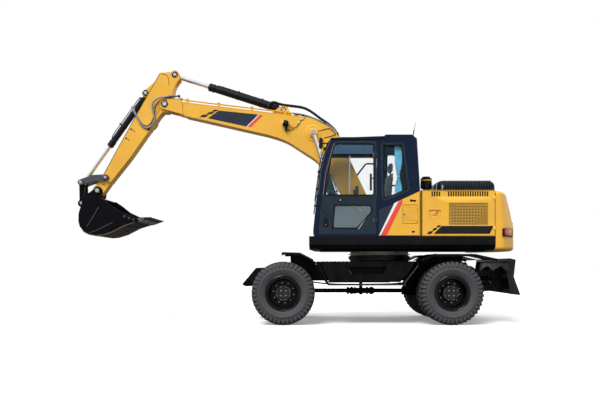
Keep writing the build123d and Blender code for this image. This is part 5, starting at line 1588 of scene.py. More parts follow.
@dataclass
class Tail:
    """Lamps, seams and fittings on the counterweight."""

    half_width: float = 1225.0
    side_end: float = -1950.0
    reach: float = -2363.0
    corner: float = 120.0
    front: float = -1812.0
    lamp_x: Point = (-1924.0, -2166.0)
    lamp_z: Point = (1472.0, 1604.0)
    # The middle that the plugs look away from, along X, and then a plug's own place.
    plug: tuple[float, float, float, float] = (-289.8, -2297.0, 460.0, 1700.0)
    plug_reach: Point = (2050.0, 2060.5)

    def _edge(self) -> list[tuple[Vector, Vector]]:
        """Points along the tail's left edge in plan, from front to back, with their outward directions."""
        depth = self.side_end - self.reach
        radius = (depth**2 + self.half_width**2) / (2 * depth)
        middle, start = self.reach + radius, math.asin(self.half_width / radius)
        arc = [(middle - radius * math.cos(start * (1 - step / 40)),
                radius * math.sin(start * (1 - step / 40))) for step in range(41)]
        corners = [(self.front, 0.0), (self.front, self.half_width)] + arc
        outline = [Vector(point) for point in rounded(corners, self.corner, 12)]
        outline = [point for point in outline if point.x < self.front - 3 and point.y > 5]
        outline.insert(0, Vector((self.front, self.half_width)))
        edge = []
        for index, point in enumerate(outline):
            along = outline[min(index + 1, len(outline) - 1)] - outline[max(index - 1, 0)]
            edge.append((point, Vector((along.y, -along.x)).normalized()))
        return edge

    def _wrap(self, sculpt: Sculpt, grow: Point, reach: Point, levels: Point, side: int) -> None:
        """Adds a block that follows the tail's edge.

        Args:
            sculpt: The piece that it goes in.
            grow: Inner and outer distance from the tail's face.
            reach: First and last place along X.
            levels: Bottom and top.
            side: 1 on the left, -1 on the right.
        """
        edge, rings = self._edge(), []
        steps = max(2, int((reach[0] - reach[1]) / 7))
        for step in range(steps + 1):
            x = reach[0] + (reach[1] - reach[0]) * step / steps
            for (start, out), (end, far_out) in zip(edge, edge[1:]):
                if end.x <= x <= start.x and start.x > end.x:
                    part = (start.x - x) / (start.x - end.x)
                    spot, way = start.lerp(end, part), out.lerp(far_out, part).normalized()
                    low, high = spot + way * grow[0], spot + way * grow[1]
                    ends = ((low, levels[0]), (high, levels[0]), (high, levels[1]), (low, levels[1]))
                    rings.append([row(place.x, side * place.y, z) for place, z in ends])
                    break
        sculpt.loft(rings, 1.0)

    def build(self) -> None:
        """Builds the tail's details."""
        red, amber, rim, housing = Sculpt(), Sculpt(), Sculpt(), Sculpt()
        for side in (LEFT, RIGHT):
            self._wrap(red, (13, 21), (-1946, -2028), (1488, 1594), side)
            self._wrap(red, (13, 20), (-2028, -2132), (1488, 1516), side)
            self._wrap(amber, (13, 22), (-2034, -2132), (1520, 1594), side)
            (front, back), (bottom, top) = self.lamp_x, self.lamp_z
            for reach, levels in (((front, front - 18), self.lamp_z), ((back + 30, back), self.lamp_z),
                                  (self.lamp_x, (bottom, bottom + 12)), (self.lamp_x, (top - 7, top))):
                self._wrap(housing, (0, 19), reach, levels, side)
            for z in (1500, 2150):
                low, high = side * 1205, side * 1226
                rim.box((-1814, low, z), (-1810, high, z + 30))
        red.piece("tail_red_lenses", "upper", Finish.LAMP_RED)
        amber.piece("tail_amber_lenses", "upper", Finish.LAMP_AMBER)
        housing.piece("tail_lamp_rims", "upper", Finish.SEAL)
        middle, x, y, z = self.plug
        for side in (RIGHT, LEFT):
            out = Vector((x - middle, side * y)).normalized()
            inner, outer = (out * reach for reach in self.plug_reach)
            rim.rod((inner.x + middle, inner.y, z), (outer.x + middle, outer.y, z), 40, 32, 1)
        rim.rod((-2000, 0, 2223), (-2000, 0, 2232), 30, 24, 2)
        rim.piece("tail_plugs", "upper", Finish.PLAIN_BLACK)


# ---- digging arm
BOOM_FOOT, BOOM_TIP = (300.0, 1930.0), (3863.0, 3886.0)
BOOM_CYLINDER = ((640.0, 1560.0), (1195.0, 3364.0))
ARM_CYLINDER = ((1737.0, 3800.0), (3688.0, 4423.0))
BUCKET_CYLINDER = ((4216.0, 4095.0), (5367.0, 2482.0))
BLADE_CYLINDER = ((-1500.0, 1000.0), (-2005.0, 690.0))
ROCKER_PIN, BUCKET_PIN, LINK_PIN = (4924.0, 2570.0), (5074.0, 2334.0), (5358.0, 2107.0)


@dataclass(frozen=True)
class PinCap:
    """The end of a pin: a bolted collar with a bright pin end and a grease nipple, on both sides."""

    name: str
    body: str
    place: Point
    face: float
    collar: float
    pin: float
    finish: Finish = Finish.YELLOW

    def build(self) -> None:
        """Builds both ends."""
        collar, bright = Sculpt(), Sculpt()
        x, z = self.place
        for side in (LEFT, RIGHT):
            centre = (x, side * self.face, z)
            collar.lathe(centre, [(self.collar, -4), (self.collar, 5), (self.collar - 5, 9),
                                  (self.pin + 4, 9), (self.pin + 4, -4)], 40, side, closed=True)
            bright.lathe(centre, [(self.pin, -4), (self.pin, 12), (self.pin - 4, 15), (4, 15)], 32, side)
            reach = (self.collar + self.pin) / 2 + 1
            for angle in spokes(2, 40):
                spot = (x + reach * math.cos(angle), side * (self.face + 8), z + reach * math.sin(angle))
                bright.bolt(spot, 6, 6, side)
        collar.piece(f"{self.name}_collars", self.body, self.finish)
        bright.piece(f"{self.name}_pin_ends", self.body, Finish.STEEL)


PIN_CAPS = (
    PinCap("boom_foot", "upper", BOOM_FOOT, 200, 92, 52),
    PinCap("boom_eye", "boom", BOOM_CYLINDER[1], 277, 52, 36),
    PinCap("boom_tip", "boom", BOOM_TIP, 182, 62, 40, Finish.PLAIN_BLACK),
    PinCap("arm_base", "boom", ARM_CYLINDER[0], 92, 46, 30, Finish.PLAIN_BLACK),
    PinCap("arm_eye", "stick", ARM_CYLINDER[1], 130, 56, 30, Finish.PLAIN_BLACK),
    PinCap("bucket_base", "stick", BUCKET_CYLINDER[0], 130, 52, 28, Finish.PLAIN_BLACK),
    PinCap("rocker", "rocker", ROCKER_PIN, 185, 42, 24, Finish.LINK),
    PinCap("rocker_end", "rocker", BUCKET_CYLINDER[1], 185, 50, 30, Finish.LINK),
    PinCap("bucket_hinge", "bucket", BUCKET_PIN, 165, 58, 36, Finish.PLAIN_BLACK),
    PinCap("bucket_foot", "bucket", LINK_PIN, 149, 46, 28, Finish.PLAIN_BLACK),
)


@dataclass(frozen=True)
class Cylinder:
    """Pipework and fittings along a cylinder's barrel, and the gland at its mouth."""

    name: str
    body: str
    ends: tuple[Point, Point]
    planes: tuple[float, ...]
    tube: float
    mouth: float
    rod: float
    out: int
    pipe_finish: Finish = Finish.HOSE
    gap: float = 26.0
    port: float = 120.0
    far_port: float = 150.0
    pipe: float = 10.0

    def _along(self, reach: float, off: float, y: float) -> Triple:
        """A point that far along the cylinder and off its axis, in side view."""
        (x, z), (far_x, far_z) = self.ends
        length = math.hypot(far_x - x, far_z - z)
        dx, dz = (far_x - x) / length, (far_z - z) / length
        return (x + reach * dx - self.out * off * dz, y, z + reach * dz + self.out * off * dx)

    def build(self) -> None:
        """Builds the fittings."""
        black, pipes, bolts = Sculpt(), Sculpt(), Sculpt()
        reach = self.tube + self.gap
        for y in self.planes:
            end = self.mouth - self.far_port
            spots = [(self.port, self.tube - 10), (self.port, reach - 6), (self.port + 30, reach),
                     (self.port + 120, reach), (end - 110, reach), (end - 20, reach), (end, self.tube - 10)]
            pipes.tube([self._along(along, off, y) for along, off in spots], self.pipe, 10)
            for share in (0.3, 0.62):
                along = self.mouth * share
                black.rod(self._along(along - 14, 0, y), self._along(along + 14, 0, y), self.tube + 5, 32, 2)
                black.rod(self._along(along - 12, reach, y), self._along(along + 12, reach, y), 19, 16, 3)
                black.rod(self._along(along, self.tube - 4, y), self._along(along, reach + 24, y), 11, 12, 2)
                bolts.rod(self._along(along, reach + 20, y), self._along(along, reach + 30, y), 8, 6, 1)
            for along in (self.mouth - 24, self.mouth - 98):
                black.rod(self._along(along, 0, y), self._along(along + 12, 0, y), self.tube + 11, 36, 3)
            black.rod(self._along(self.mouth - 2, 0, y), self._along(self.mouth + 16, 0, y),
                      self.rod + 13, 28, 4)
            for angle in spokes(8):
                shift = (self.tube - 4) * math.cos(angle), (self.tube - 4) * math.sin(angle)
                bolts.rod(self._along(self.mouth - 3, shift[0], y + shift[1]),
                          self._along(self.mouth + 5, shift[0], y + shift[1]), 6, 6, 0.6)
            for along in (self.port, end):
                black.rod(self._along(along, self.tube - 6, y),
                          self._along(along, self.tube + 10, y), 20, 16, 2)
        black.piece(f"{self.name}_glands", self.body, Finish.PLAIN_BLACK)
        pipes.piece(f"{self.name}_pipes", self.body, self.pipe_finish)
        bolts.piece(f"{self.name}_bolts", self.body, Finish.STEEL)


CYLINDERS = (
    Cylinder("boom_cylinder", "boom_barrels", BOOM_CYLINDER, (235, -235), 62, 1225, 36, 1),
    Cylinder("arm_cylinder", "arm_barrel", ARM_CYLINDER, (0,), 66, 1410, 38, 1, Finish.PLAIN_BLACK, 8),
    Cylinder("bucket_cylinder", "bucket_barrel", BUCKET_CYLINDER, (0,), 54, 1155, 34, 1, Finish.HOSE, 23),
    Cylinder("blade_cylinder", "blade_barrels", BLADE_CYLINDER, (200, -200), 46, 500, 26, 1,
             Finish.PLAIN_BLACK, 4),
)


@dataclass
class BoomDetails:
    """Film, weld beads, pipe clamps, lamp and hoses of the boom."""

    face: float = 160.0
    panel: tuple[Point, ...] = ((3089, 3631), (2891, 3771), (2181, 3698), (2396, 3482))
    cross_seams: tuple[tuple[Point, ...], ...] = (
        ((3512, 3930), (3540, 3830), (3560, 3738)),
        ((3208, 3868), (3222, 3640)),
    )
    long_seams: tuple[tuple[Point, ...], ...] = (
        ((3600, 3925), (2400, 3780), (1250, 3643), (1020, 3535), (800, 3410), (480, 2760), (190, 2132)),
        ((440, 1908), (1000, 2798), (1400, 3060), (1750, 3283), (2600, 3475), (3476, 3676), (3596, 3734)),
    )
    check_lean: float = 1.4
    pipe_y: float = 128.0
    back_rise: float = 283 / 2350
    clamps_x: tuple[float, ...] = (1700, 2300, 2900, 3460)
    lamp_y: float = 220.0

    def _film(self) -> None:
        """The blank dark panel with its stripes and checks, on both sides."""
        top_rear, low_rear = self.panel[2:]
        panel, white, red = Sculpt(), Sculpt(), Sculpt()

        def slip(point: Point, ahead: float) -> Point:
            """Moves a point along the boom."""
            return (point[0] + ahead * 0.985, point[1] + ahead * 0.155)

        for side in (LEFT, RIGHT):
            low, high = side * (self.face - 0.5), side * (self.face + 1.2)
            panel.plate(self.panel, low, high)
            for x, z, wide, tall in ((2960, 3768, 84, 34), (3040, 3724, 104, 42), (3158, 3673, 118, 48)):
                check = rect(-wide / 2, -tall / 2, wide / 2, tall / 2)
                panel.plate([(x + across - up * self.check_lean, z + up) for across, up in check], low, high)
            white.plate([low_rear, top_rear, slip(top_rear, -18), slip(low_rear, -18)], low, high)
            red.plate([slip(low_rear, -20), slip(top_rear, -20), slip(top_rear, -84), slip(low_rear, -84)],
                      low, high)
        panel.piece("boom_panel", "boom", Finish.DECAL_NAVY)
        white.piece("boom_white_stripe", "boom", Finish.WHITE)
        red.piece("boom_red_stripe", "boom", Finish.RED)

    def _steel(self) -> None:
        """Weld beads, edge strips and clamps."""
        beads, clamps, bolts = Sculpt(), Sculpt(), Sculpt()
        for side in (LEFT, RIGHT):
            for lines, proud, radius in ((self.cross_seams, 1, 4), (self.long_seams, -1, 5)):
                for line in lines:
                    beads.tube([(x, side * (self.face + proud), z) for x, z in line], radius, 8)
            beads.lathe((1195, side * self.face, 3364), [(150, 0), (150, 5), (142, 9), (118, 9), (118, 0)],
                        48, side, True)
            beads.plate(rounded(rect(1060, 3240, 1330, 3488), 120), side * self.face, side * (self.face + 6))
        beads.piece("boom_weld_beads", "boom", Finish.YELLOW)
        for x in self.clamps_x:
            y, z = self.pipe_y, 3650 + (x - 1250) * self.back_rise
            clamps.box((x - 26, y - 32, z + 50), (x + 26, y + 32, z + 66), 3)
            bolts.rod((x, y, z + 62), (x, y, z + 78), 9, 6, 1)
            clamps.box((x - 26, -y - 32, z - 2), (x + 26, -y + 32, z + 14), 3)
        clamps.piece("boom_clamps", "boom", Finish.YELLOW)
        bolts.piece("boom_clamp_bolts", "boom", Finish.STEEL)

    def _lamp(self) -> None:
        """Work lamp's housing, lens and lead."""
        lamp, y = Sculpt(), self.lamp_y
        lamp.rod((1735, y, 3536), (1662, y, 3520), 56, 28, 10)
        lamp.rod((1664, y, 3520), (1640, y, 3515), 34, 20, 6)
        for rib in range(4):
            x, z = 1700 - 14 * rib, 3528 - 3 * rib
            lamp.rod((x, y, z), (x - 6, y, z - 1), 60 - 4 * rib, 28, 1)
        lamp.box((1664, 176, 3420), (1700, 184, 3500), 2).rod((1682, 160, 3436), (1682, 190, 3436), 15, 6, 1)
        lamp.piece("boom_lamp_housing", "boom", Finish.PLAIN_BLACK)
        lens = Sculpt().rod((1733, y, 3536), (1743, y, 3538), 48, 28, 3)
        lens.piece("boom_lamp_lens", "boom", Finish.LAMP_CLEAR)
        lead = Sculpt()
        lead.tube([(1640, 214, 3512), (1590, 205, 3462), (1540, 182, 3452), (1490, 170, 3480),
                   (1450, 168, 3540), (1415, 166, 3600), (1350, 164, 3632)], 6, 8)
        lead.tube([(1678, 168, 3436), (1640, 166, 3405), (1590, 165, 3420), (1545, 165, 3452)], 5, 8)
        lead.tube([(1115, 167, 3396), (1010, 167, 3428), (907, 167, 3453), (850, 167, 3410),
                   (794, 167, 3349)], 6, 8)
        lead.tube([(1001, 167, 3283), (900, 167, 3300), (794, 167, 3340)], 6, 8)
        lead.piece("boom_lamp_lead", "boom", Finish.BLACK_HOSE)
        clip = Sculpt().box((1432, 160, 3535), (1476, 174, 3560), 3)
        clip.box((1372, 160, 3600), (1412, 174, 3626), 3)
        clip.piece("boom_lead_clips", "boom", Finish.STEEL)

    def _hoses(self) -> None:
        """Hoses from the pipes over the boom's back to its foot, and the ports they end in."""
        black, grey, ports = Sculpt(), Sculpt(), Sculpt()
        for index, y in enumerate((70, 100)):
            lift = 12 * index
            black.tube([(2010, y, 3858), (1986, y, 3905 + lift), (1910, y, 3936 + lift),
                        (1778, y, 3885 + lift), (1607, y, 3864 + lift), (1379, y, 3836 + lift),
                        (1240, y, 3768 + lift), (1076, y, 3640 + lift), (930, y, 3545 + lift), (800, y, 3445),
                        (760, y, 3360)], 16, 12)
            black.tube([(1560, -y, 3720), (1480, -y, 3760), (1330, -y, 3720), (1150, -y, 3640),
                        (930, -y, 3545), (780, -y, 3400), (700, -y, 3240)], 14, 12)
        for y in (114, 142):
            grey.tube([(1562, y, 3728), (1460, y, 3716), (1330, y, 3690), (1180, y, 3636), (1000, y, 3556),
                       (830, y, 3460), (720, y, 3290), (640, y, 3120)], 12, 12)
        for y in (70, 100, -70, -100, 114, 142):
            ports.rod((752, y, 3330), (768, y, 3376), 22, 6, 2)
        ports.box((690, -165, 3080), (770, 165, 3110), 4)
        for y in (70, 100):
            ports.rod((2004, y, 3800), (2012, y, 3868), 20, 6, 2)
        ports.box((1360, 60, 3672), (1400, 156, 3700), 3).box((980, -130, 3528), (1010, 156, 3560), 3)
        black.piece("boom_hoses", "boom", Finish.BLACK_HOSE)
        grey.piece("boom_rear_pipes", "boom", Finish.HOSE)
        ports.piece("boom_ports", "boom", Finish.PLAIN_BLACK)

    def build(self) -> None:
        """Builds all of it."""
        self._film()
        self._steel()
        self._lamp()
        self._hoses()


@dataclass
class StickDetails:
    """Dark lines along the stick's edges that are painted shade, nipples and plugs of the stick, and the
    hoses that cross from the boom.
    """

    face: float = 130.0

    def _steel(self) -> None:
        """Painted shade lines, bosses in the same painted-shade brown, pad and plugs."""
        beads, bright, brown, bump, plug = Sculpt(), Sculpt(), Sculpt(), Sculpt(), Sculpt()
        for side in (LEFT, RIGHT):
            y = side * (self.face + 1)
            # Brown lines along the stick's front and top edges are painted shade along the edge; the bosses
            # below wear the same painted-shade brown.
            for line in ([(3955, 4448), (4480, 3520), (4985, 2600), (5012, 2535)],
                         [(3940, 4440), (3841, 4428), (3796, 4353), (3786, 4236)]):
                beads.tube([(x, y, z) for x, z in line], 5, 8)
            for x, z in ((4476, 3446), (4568, 3282)):
                beads.rod((x, side * 128, z), (x, side * 134, z), 17, 16, 2)
                bright.rod((x, side * 134, z), (x - 4, side * 150, z), 6, 8, 1)
                brown.tube([(x - 8, side * 136, z - 2), (x - 45, side * 136, z - 24),
                            (x - 70, side * 134, z - 52)], 4, 6)
            bright.rod((4868, side * 128, 2506), (4868, side * 138, 2506), 13, 6, 1)
            low, high = side * 128, side * 140
            bump.plate(rounded([(4060, 3560), (4120, 3478), (4142, 3496), (4082, 3582)], 8), low, high, 2)
            plug.rod((4964, side * 126, 2446), (4964, side * 133, 2446), 11, 16, 1)
        beads.piece("stick_weld_beads", "stick", Finish.EDGE)
        bright.piece("stick_nipples", "stick", Finish.STEEL)
        brown.piece("stick_leads", "stick", Finish.BLACK_HOSE)
        bump.piece("stick_hose_pad", "stick", Finish.YELLOW)
        plug.piece("stick_red_plug", "stick", Finish.LAMP_RED)

    def _hoses(self) -> None:
        """Two pairs of hoses bent between the boom's pipes and the bucket cylinder's feed."""
        lines = (
            [(3624, 142, 4031), (3700, 148, 4040), (3770, 158, 4030), (3850, 178, 4006), (3927, 190, 3998),
             (4019, 188, 3965), (4082, 176, 3899), (4088, 168, 3807), (4050, 160, 3689), (4046, 156, 3590),
             (4085, 154, 3508), (4164, 152, 3458), (4243, 152, 3466), (4309, 150, 3544), (4374, 148, 3676),
             (4420, 146, 3760)],
            [(3624, 114, 4028), (3700, 130, 4022), (3780, 170, 4000), (3860, 205, 3972), (3945, 205, 3940),
             (4010, 196, 3876), (4030, 180, 3786), (4040, 166, 3700), (4078, 158, 3600), (4118, 154, 3530),
             (4180, 153, 3492), (4250, 153, 3502), (4306, 151, 3566), (4360, 149, 3664), (4396, 147, 3720)],
        )
        for number, line in enumerate(lines):
            for label, side in SIDES:
                # The second hose of each pair is thin and black: its dark colour is painted shade for the
                # shadowed curved edge beside the first hose.
                radius, finish = ((16, Finish.HOSE), (9, Finish.BLACK_HOSE))[number]
                hose = Sculpt().tube([(x, side * y, z) for x, y, z in line], radius, 14)
                made = hose.piece(f"{label}_crossing_hose_{number + 1}", None, finish)
                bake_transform(made)
        feed, clamps, couplings = Sculpt(), Sculpt(), Sculpt()
        for side in (LEFT, RIGHT):
            for end, rise in (((4420, 146, 3760), (4450, 120, 3838)), ((4396, 147, 3720), (4420, 118, 3880))):
                feed.rod((end[0] - 12, side * end[1], end[2] - 24),
                         (end[0] + 14, side * (end[1] - 6), end[2] + 26), 21, 6, 2)
                feed.tube([(end[0], side * end[1], end[2]), (end[0] + 24, side * 140, end[2] + 50),
                           (rise[0], side * rise[1], rise[2])], 11, 10)
            clamps.box((4140, side * 141 - 12, 3425), (4185, side * 141 + 12, 3470), 4)
            couplings.box((3596, side * 128 - 34, 4006), (3622, side * 128 + 34, 4056), 4)
        feed.piece("stick_feed_pipes", "stick", Finish.HOSE)
        clamps.box((4130, -150, 3436), (4136, 150, 3442))
        clamps.piece("stick_hose_clamps", "stick", Finish.PLAIN_BLACK)
        couplings.piece("boom_pipe_couplings", "boom", Finish.PLAIN_BLACK)

    def build(self) -> None:
        """Builds all of it."""
        self._steel()
        self._hoses()


@dataclass
class BucketDetails:
    """Side ribs, cutters, wear strips and tooth caps of the bucket."""

    half: float = 575.0
    teeth: int = 5
    tooth: tuple[tuple[float, float, float, float], ...] = (
        (4262, 1744, 1818, 47), (4190, 1756, 1829, 45), (4110, 1787, 1832, 40), (4030, 1815, 1832, 36),
        (4014, 1822, 1829, 34))

    def build(self) -> None:
        """Builds the bucket's details."""
        ribs, worn, bolts, cutters = Sculpt(), Sculpt(), Sculpt(), Sculpt()
        for side in (LEFT, RIGHT):
            low, high = side * (self.half - 1), side * (self.half + 3)
            ribs.strip([(4928, 2010), (5133, 1671)], 9, low, high)
            ribs.strip([(4695, 1738), (4983, 1594), (5094, 1560)], 9, low, high)
            low, high = side * (self.half - 1), side * (self.half + 14)
            cutters.plate([(4540, 1816), (4500, 1890), (4363, 1868), (4262, 1800), (4232, 1776),
                           (4451, 1716)], low, high, 3)
            for x, z in ((4480, 1842), (4400, 1812), (4322, 1788)):
                bolts.bolt((x, side * (self.half + 13), z), 14, 13, side)
            low, high = side * (self.half - 26), side * (self.half + 5)
            worn.strip([(4300, 1745), (4464, 1692), (4707, 1568), (4874, 1518), (4985, 1508), (5097, 1530),
                        (5196, 1581)], 15, low, high)
        lip = [(4985, 1507), (4874, 1516), (4707, 1565), (4464, 1688)]
        for y in range(-480, 481, 160):
            worn.strip(lip, 16, y - 26, y + 26)
        worn.plate([(4240, 1792), (4300, 1772), (4470, 1720), (4474, 1712), (4246, 1752)], -573, 573, 2)
        ribs.piece("bucket_side_ribs", "bucket", Finish.LINK)
        worn.piece("bucket_wear_strips", "bucket", Finish.WORN)
        cutters.piece("bucket_cutters", "bucket", Finish.BUCKET)
        bolts.piece("bucket_cutter_bolts", "bucket", Finish.LINK)
        caps, pins = Sculpt(), Sculpt()
        for number in range(self.teeth):
            y = (self.half - 60) * (2 * number / (self.teeth - 1) - 1)
            caps.loft([[row(x, across, z) for across, z in rect(y - half, z_low, y + half, z_high)]
                       for x, z_low, z_high, half in self.tooth], 3)
            pins.rod((4226, y - 50, 1784), (4226, y + 50, 1784), 9, 12, 1)
        caps.piece("bucket_tooth_caps", "bucket", Finish.WORN)
        pins.piece("bucket_tooth_pins", "bucket", Finish.STEEL)


# ---- lower works
@dataclass
class Undercarriage:
    """Slew ring teeth and bolts, step treads, shaft joints, blade bolts and hoses."""

    ring_teeth: int = 72
    ring_bolts: int = 36
    shaft_z: float = 536.0
    joints_x: tuple[float, ...] = (560, 490, 210, 120, 1290, -440)

    def _tooth(self, item: Sculpt) -> None:
        """One tooth of the slew ring's gear, before the ring is laid flat."""
        levels = ((15, 528), (15, 541), (8, 556))
        item.loft([[row(x, y, z) for x, y in rect(-half, -26, half, 26)] for half, z in levels])

    def _ring_bolt(self, item: Sculpt) -> None:
        """One bolt head under the ring."""
        item.rod((0, 40, 549), (0, 54, 549), 9, 6, 1)

    def _ring(self) -> None:
        """The ring's teeth and bolts, and a race round it in a steel lighter than the ring's, which is a
        painted highlight.
        """
        flat = Matrix.Rotation(math.radians(90), 3, "X")
        teeth = Repeat(Layout.RING, self.ring_teeth).mesh(at_origin(self._tooth), Finish.RING)
        Sculpt().add(teeth, moved(0, 0, 1128, turn=flat)).piece("slew_teeth", "chassis", Finish.RING)
        bolts = Repeat(Layout.RING, self.ring_bolts, turn=4).mesh(at_origin(self._ring_bolt), Finish.STEEL)
        Sculpt().add(bolts, moved(0, 0, 1142, turn=flat)).piece("slew_bolts", "chassis", Finish.STEEL)
        # The race's light steel is a painted highlight.
        race = Sculpt().collar(oval((0, 0), 524, 524, 96), oval((0, 0), 521, 521, 96), 1172, 1236)
        race.piece("slew_race", "upper", Finish.RACE_HIGHLIGHT)

    def _steps(self) -> None:
        """Treads of the step boxes, light strips along their edges that are painted highlights, and bolt
        heads on the fenders.
        """
        treads, edge, bolts = Sculpt(), Sculpt(), Sculpt()
        for side in (LEFT, RIGHT):
            for index in range(9):
                x = 70 + 58 * index
                treads.box((x, side * 1010, 835), (x + 26, side * 1120, 843), 2)
            for index in range(24):
                x = -500 + 66 * index
                treads.box((x, side * 760, 1054), (x + 22, side * 1120, 1060), 2)
            # Light grey strips along the step boxes' bottom and slanted edges: painted highlights.
            low, high = side * 1128, side * 1134
            edge.strip([(-300, 668), (958, 668)], 9, low, high)
            edge.strip([(-545, 990), (-312, 684)], 10, low, high)
            edge.strip([(560, 838), (596, 915)], 7, side * 1130, side * 1132)
            for x, z in ((1640, 1176), (1500, 1140), (-820, 1166), (-1420, 1166), (-1600, 1094)):
                bolts.rod((x, side * 1180, z), (x, side * 1180, z + 20), 13, 6, 1)
        treads.piece("step_treads", "chassis", Finish.CHASSIS)
        edge.piece("step_edges", "chassis", Finish.LINK)
        bolts.piece("fender_bolts", "chassis", Finish.PLAIN_BLACK)

    def _shaft(self) -> None:
        """Universal joints and flanges on the propeller shaft, and hoses beside it."""
        shaft, middle = Sculpt(), self.shaft_z
        for x in self.joints_x:
            shaft.rod((x, 0, middle), (x + 22, 0, middle), 68, 28, 3)
            shaft.rod((x + 11, -62, middle), (x + 11, 62, middle), 20, 14, 3)
            shaft.rod((x + 11, 0, middle - 62), (x + 11, 0, middle + 62), 20, 14, 3)
            for y, z in oval((0, middle), 54, 54, 6):
                shaft.rod((x - 8, y, z), (x + 30, y, z), 9, 6, 1)
        for x in (320, 420):
            shaft.rod((x, 0, middle), (x + 40, 0, middle), 62, 24, 6)
        shaft.piece("shaft_joints", "chassis", Finish.CHASSIS)
        hoses = Sculpt()
        for y in (-90, 90):
            hoses.tube([(1200, y, 690), (950, y * 1.3, 652), (500, y, 646), (100, y * 1.5, 648),
                        (-300, y, 654), (-700, y, 700)], 13, 10)
        for side in (LEFT, RIGHT):
            hoses.tube([(-1180, side * 150, 780), (-1300, side * 210, 840), (-1420, side * 230, 940),
                        (-1470, side * 225, 1020), (-1530, side * 215, 1040)], 12, 10)
        hoses.piece("chassis_hoses", "chassis", Finish.BLACK_HOSE)

    def _blade(self) -> None:
        """Bolts, cutting edge and nipples of the dozer blade."""
        bolts, edge = Sculpt(), Sculpt()
        for side in (LEFT, RIGHT):
            for x, z in ((-2050, 1060), (-2010, 880), (-1960, 640), (-2040, 560)):
                bolts.bolt((x, side * 420, z), 15, 12, side)
        edge.plate([(-2228, 498), (-2196, 498), (-2174, 610), (-2198, 610)], -1120, 1120, 3)
        edge.piece("blade_cutting_edge", "blade", Finish.WORN)
        bolts.piece("blade_bolts", "blade", Finish.STEEL)

    def build(self) -> None:
        """Builds all of it."""
        self._ring()
        self._steps()
        self._shaft()
        self._blade()


@dataclass
class RightSide:
    """Filler caps, hinges, door lines, mirror glass and grips on the right."""

    def build(self) -> None:
        """Builds the right side's details."""
        seams, black, bright = Sculpt(), Sculpt(), Sculpt()
        for (x_low, x_high), top in (((-560, -60), 2236), ((-45, 620), 2150), ((635, 1150), 1850)):
            outline = rect(x_low + 14, 1492, x_high - 14, top - 14)
            seams.frame(rounded(outline, 14), 6, -1226.5, -1224)
            black.plate(rounded(rect(x_high - 90, 1700, x_high - 40, 1800), 12), -1233, -1224, 3)
            for z in (1560, top - 120):
                black.rod((x_low + 20, -1230, z), (x_low + 20, -1230, z + 70), 9, 12, 1)
            bright.rod((x_high - 65, -1226, 1750), (x_high - 65, -1238, 1750), 12, 18, 2)
        for x, y, z in ((300, -900, 2150), (-300, -900, 2238)):
            black.rod((x, y, z), (x, y, z + 34), 62, 32, 4)
            black.rod((x, y, z + 30), (x, y, z + 48), 40, 8, 3)
        for index in range(8):
            black.box((660 + 58 * index, -1180, 1849), (690 + 58 * index, -520, 1856), 2)
        seams.piece("right_panel_seams", "upper", Finish.SEAL)
        black.piece("right_fittings", "upper", Finish.PLAIN_BLACK)
        bright.piece("right_locks", "upper", Finish.STEEL)
        glass = Sculpt().plate(rounded(rect(34, 2484, 38.5, 2786), 1), -1206, -1154)
        glass.piece("mirror_glass", "upper", Finish.CHROME)


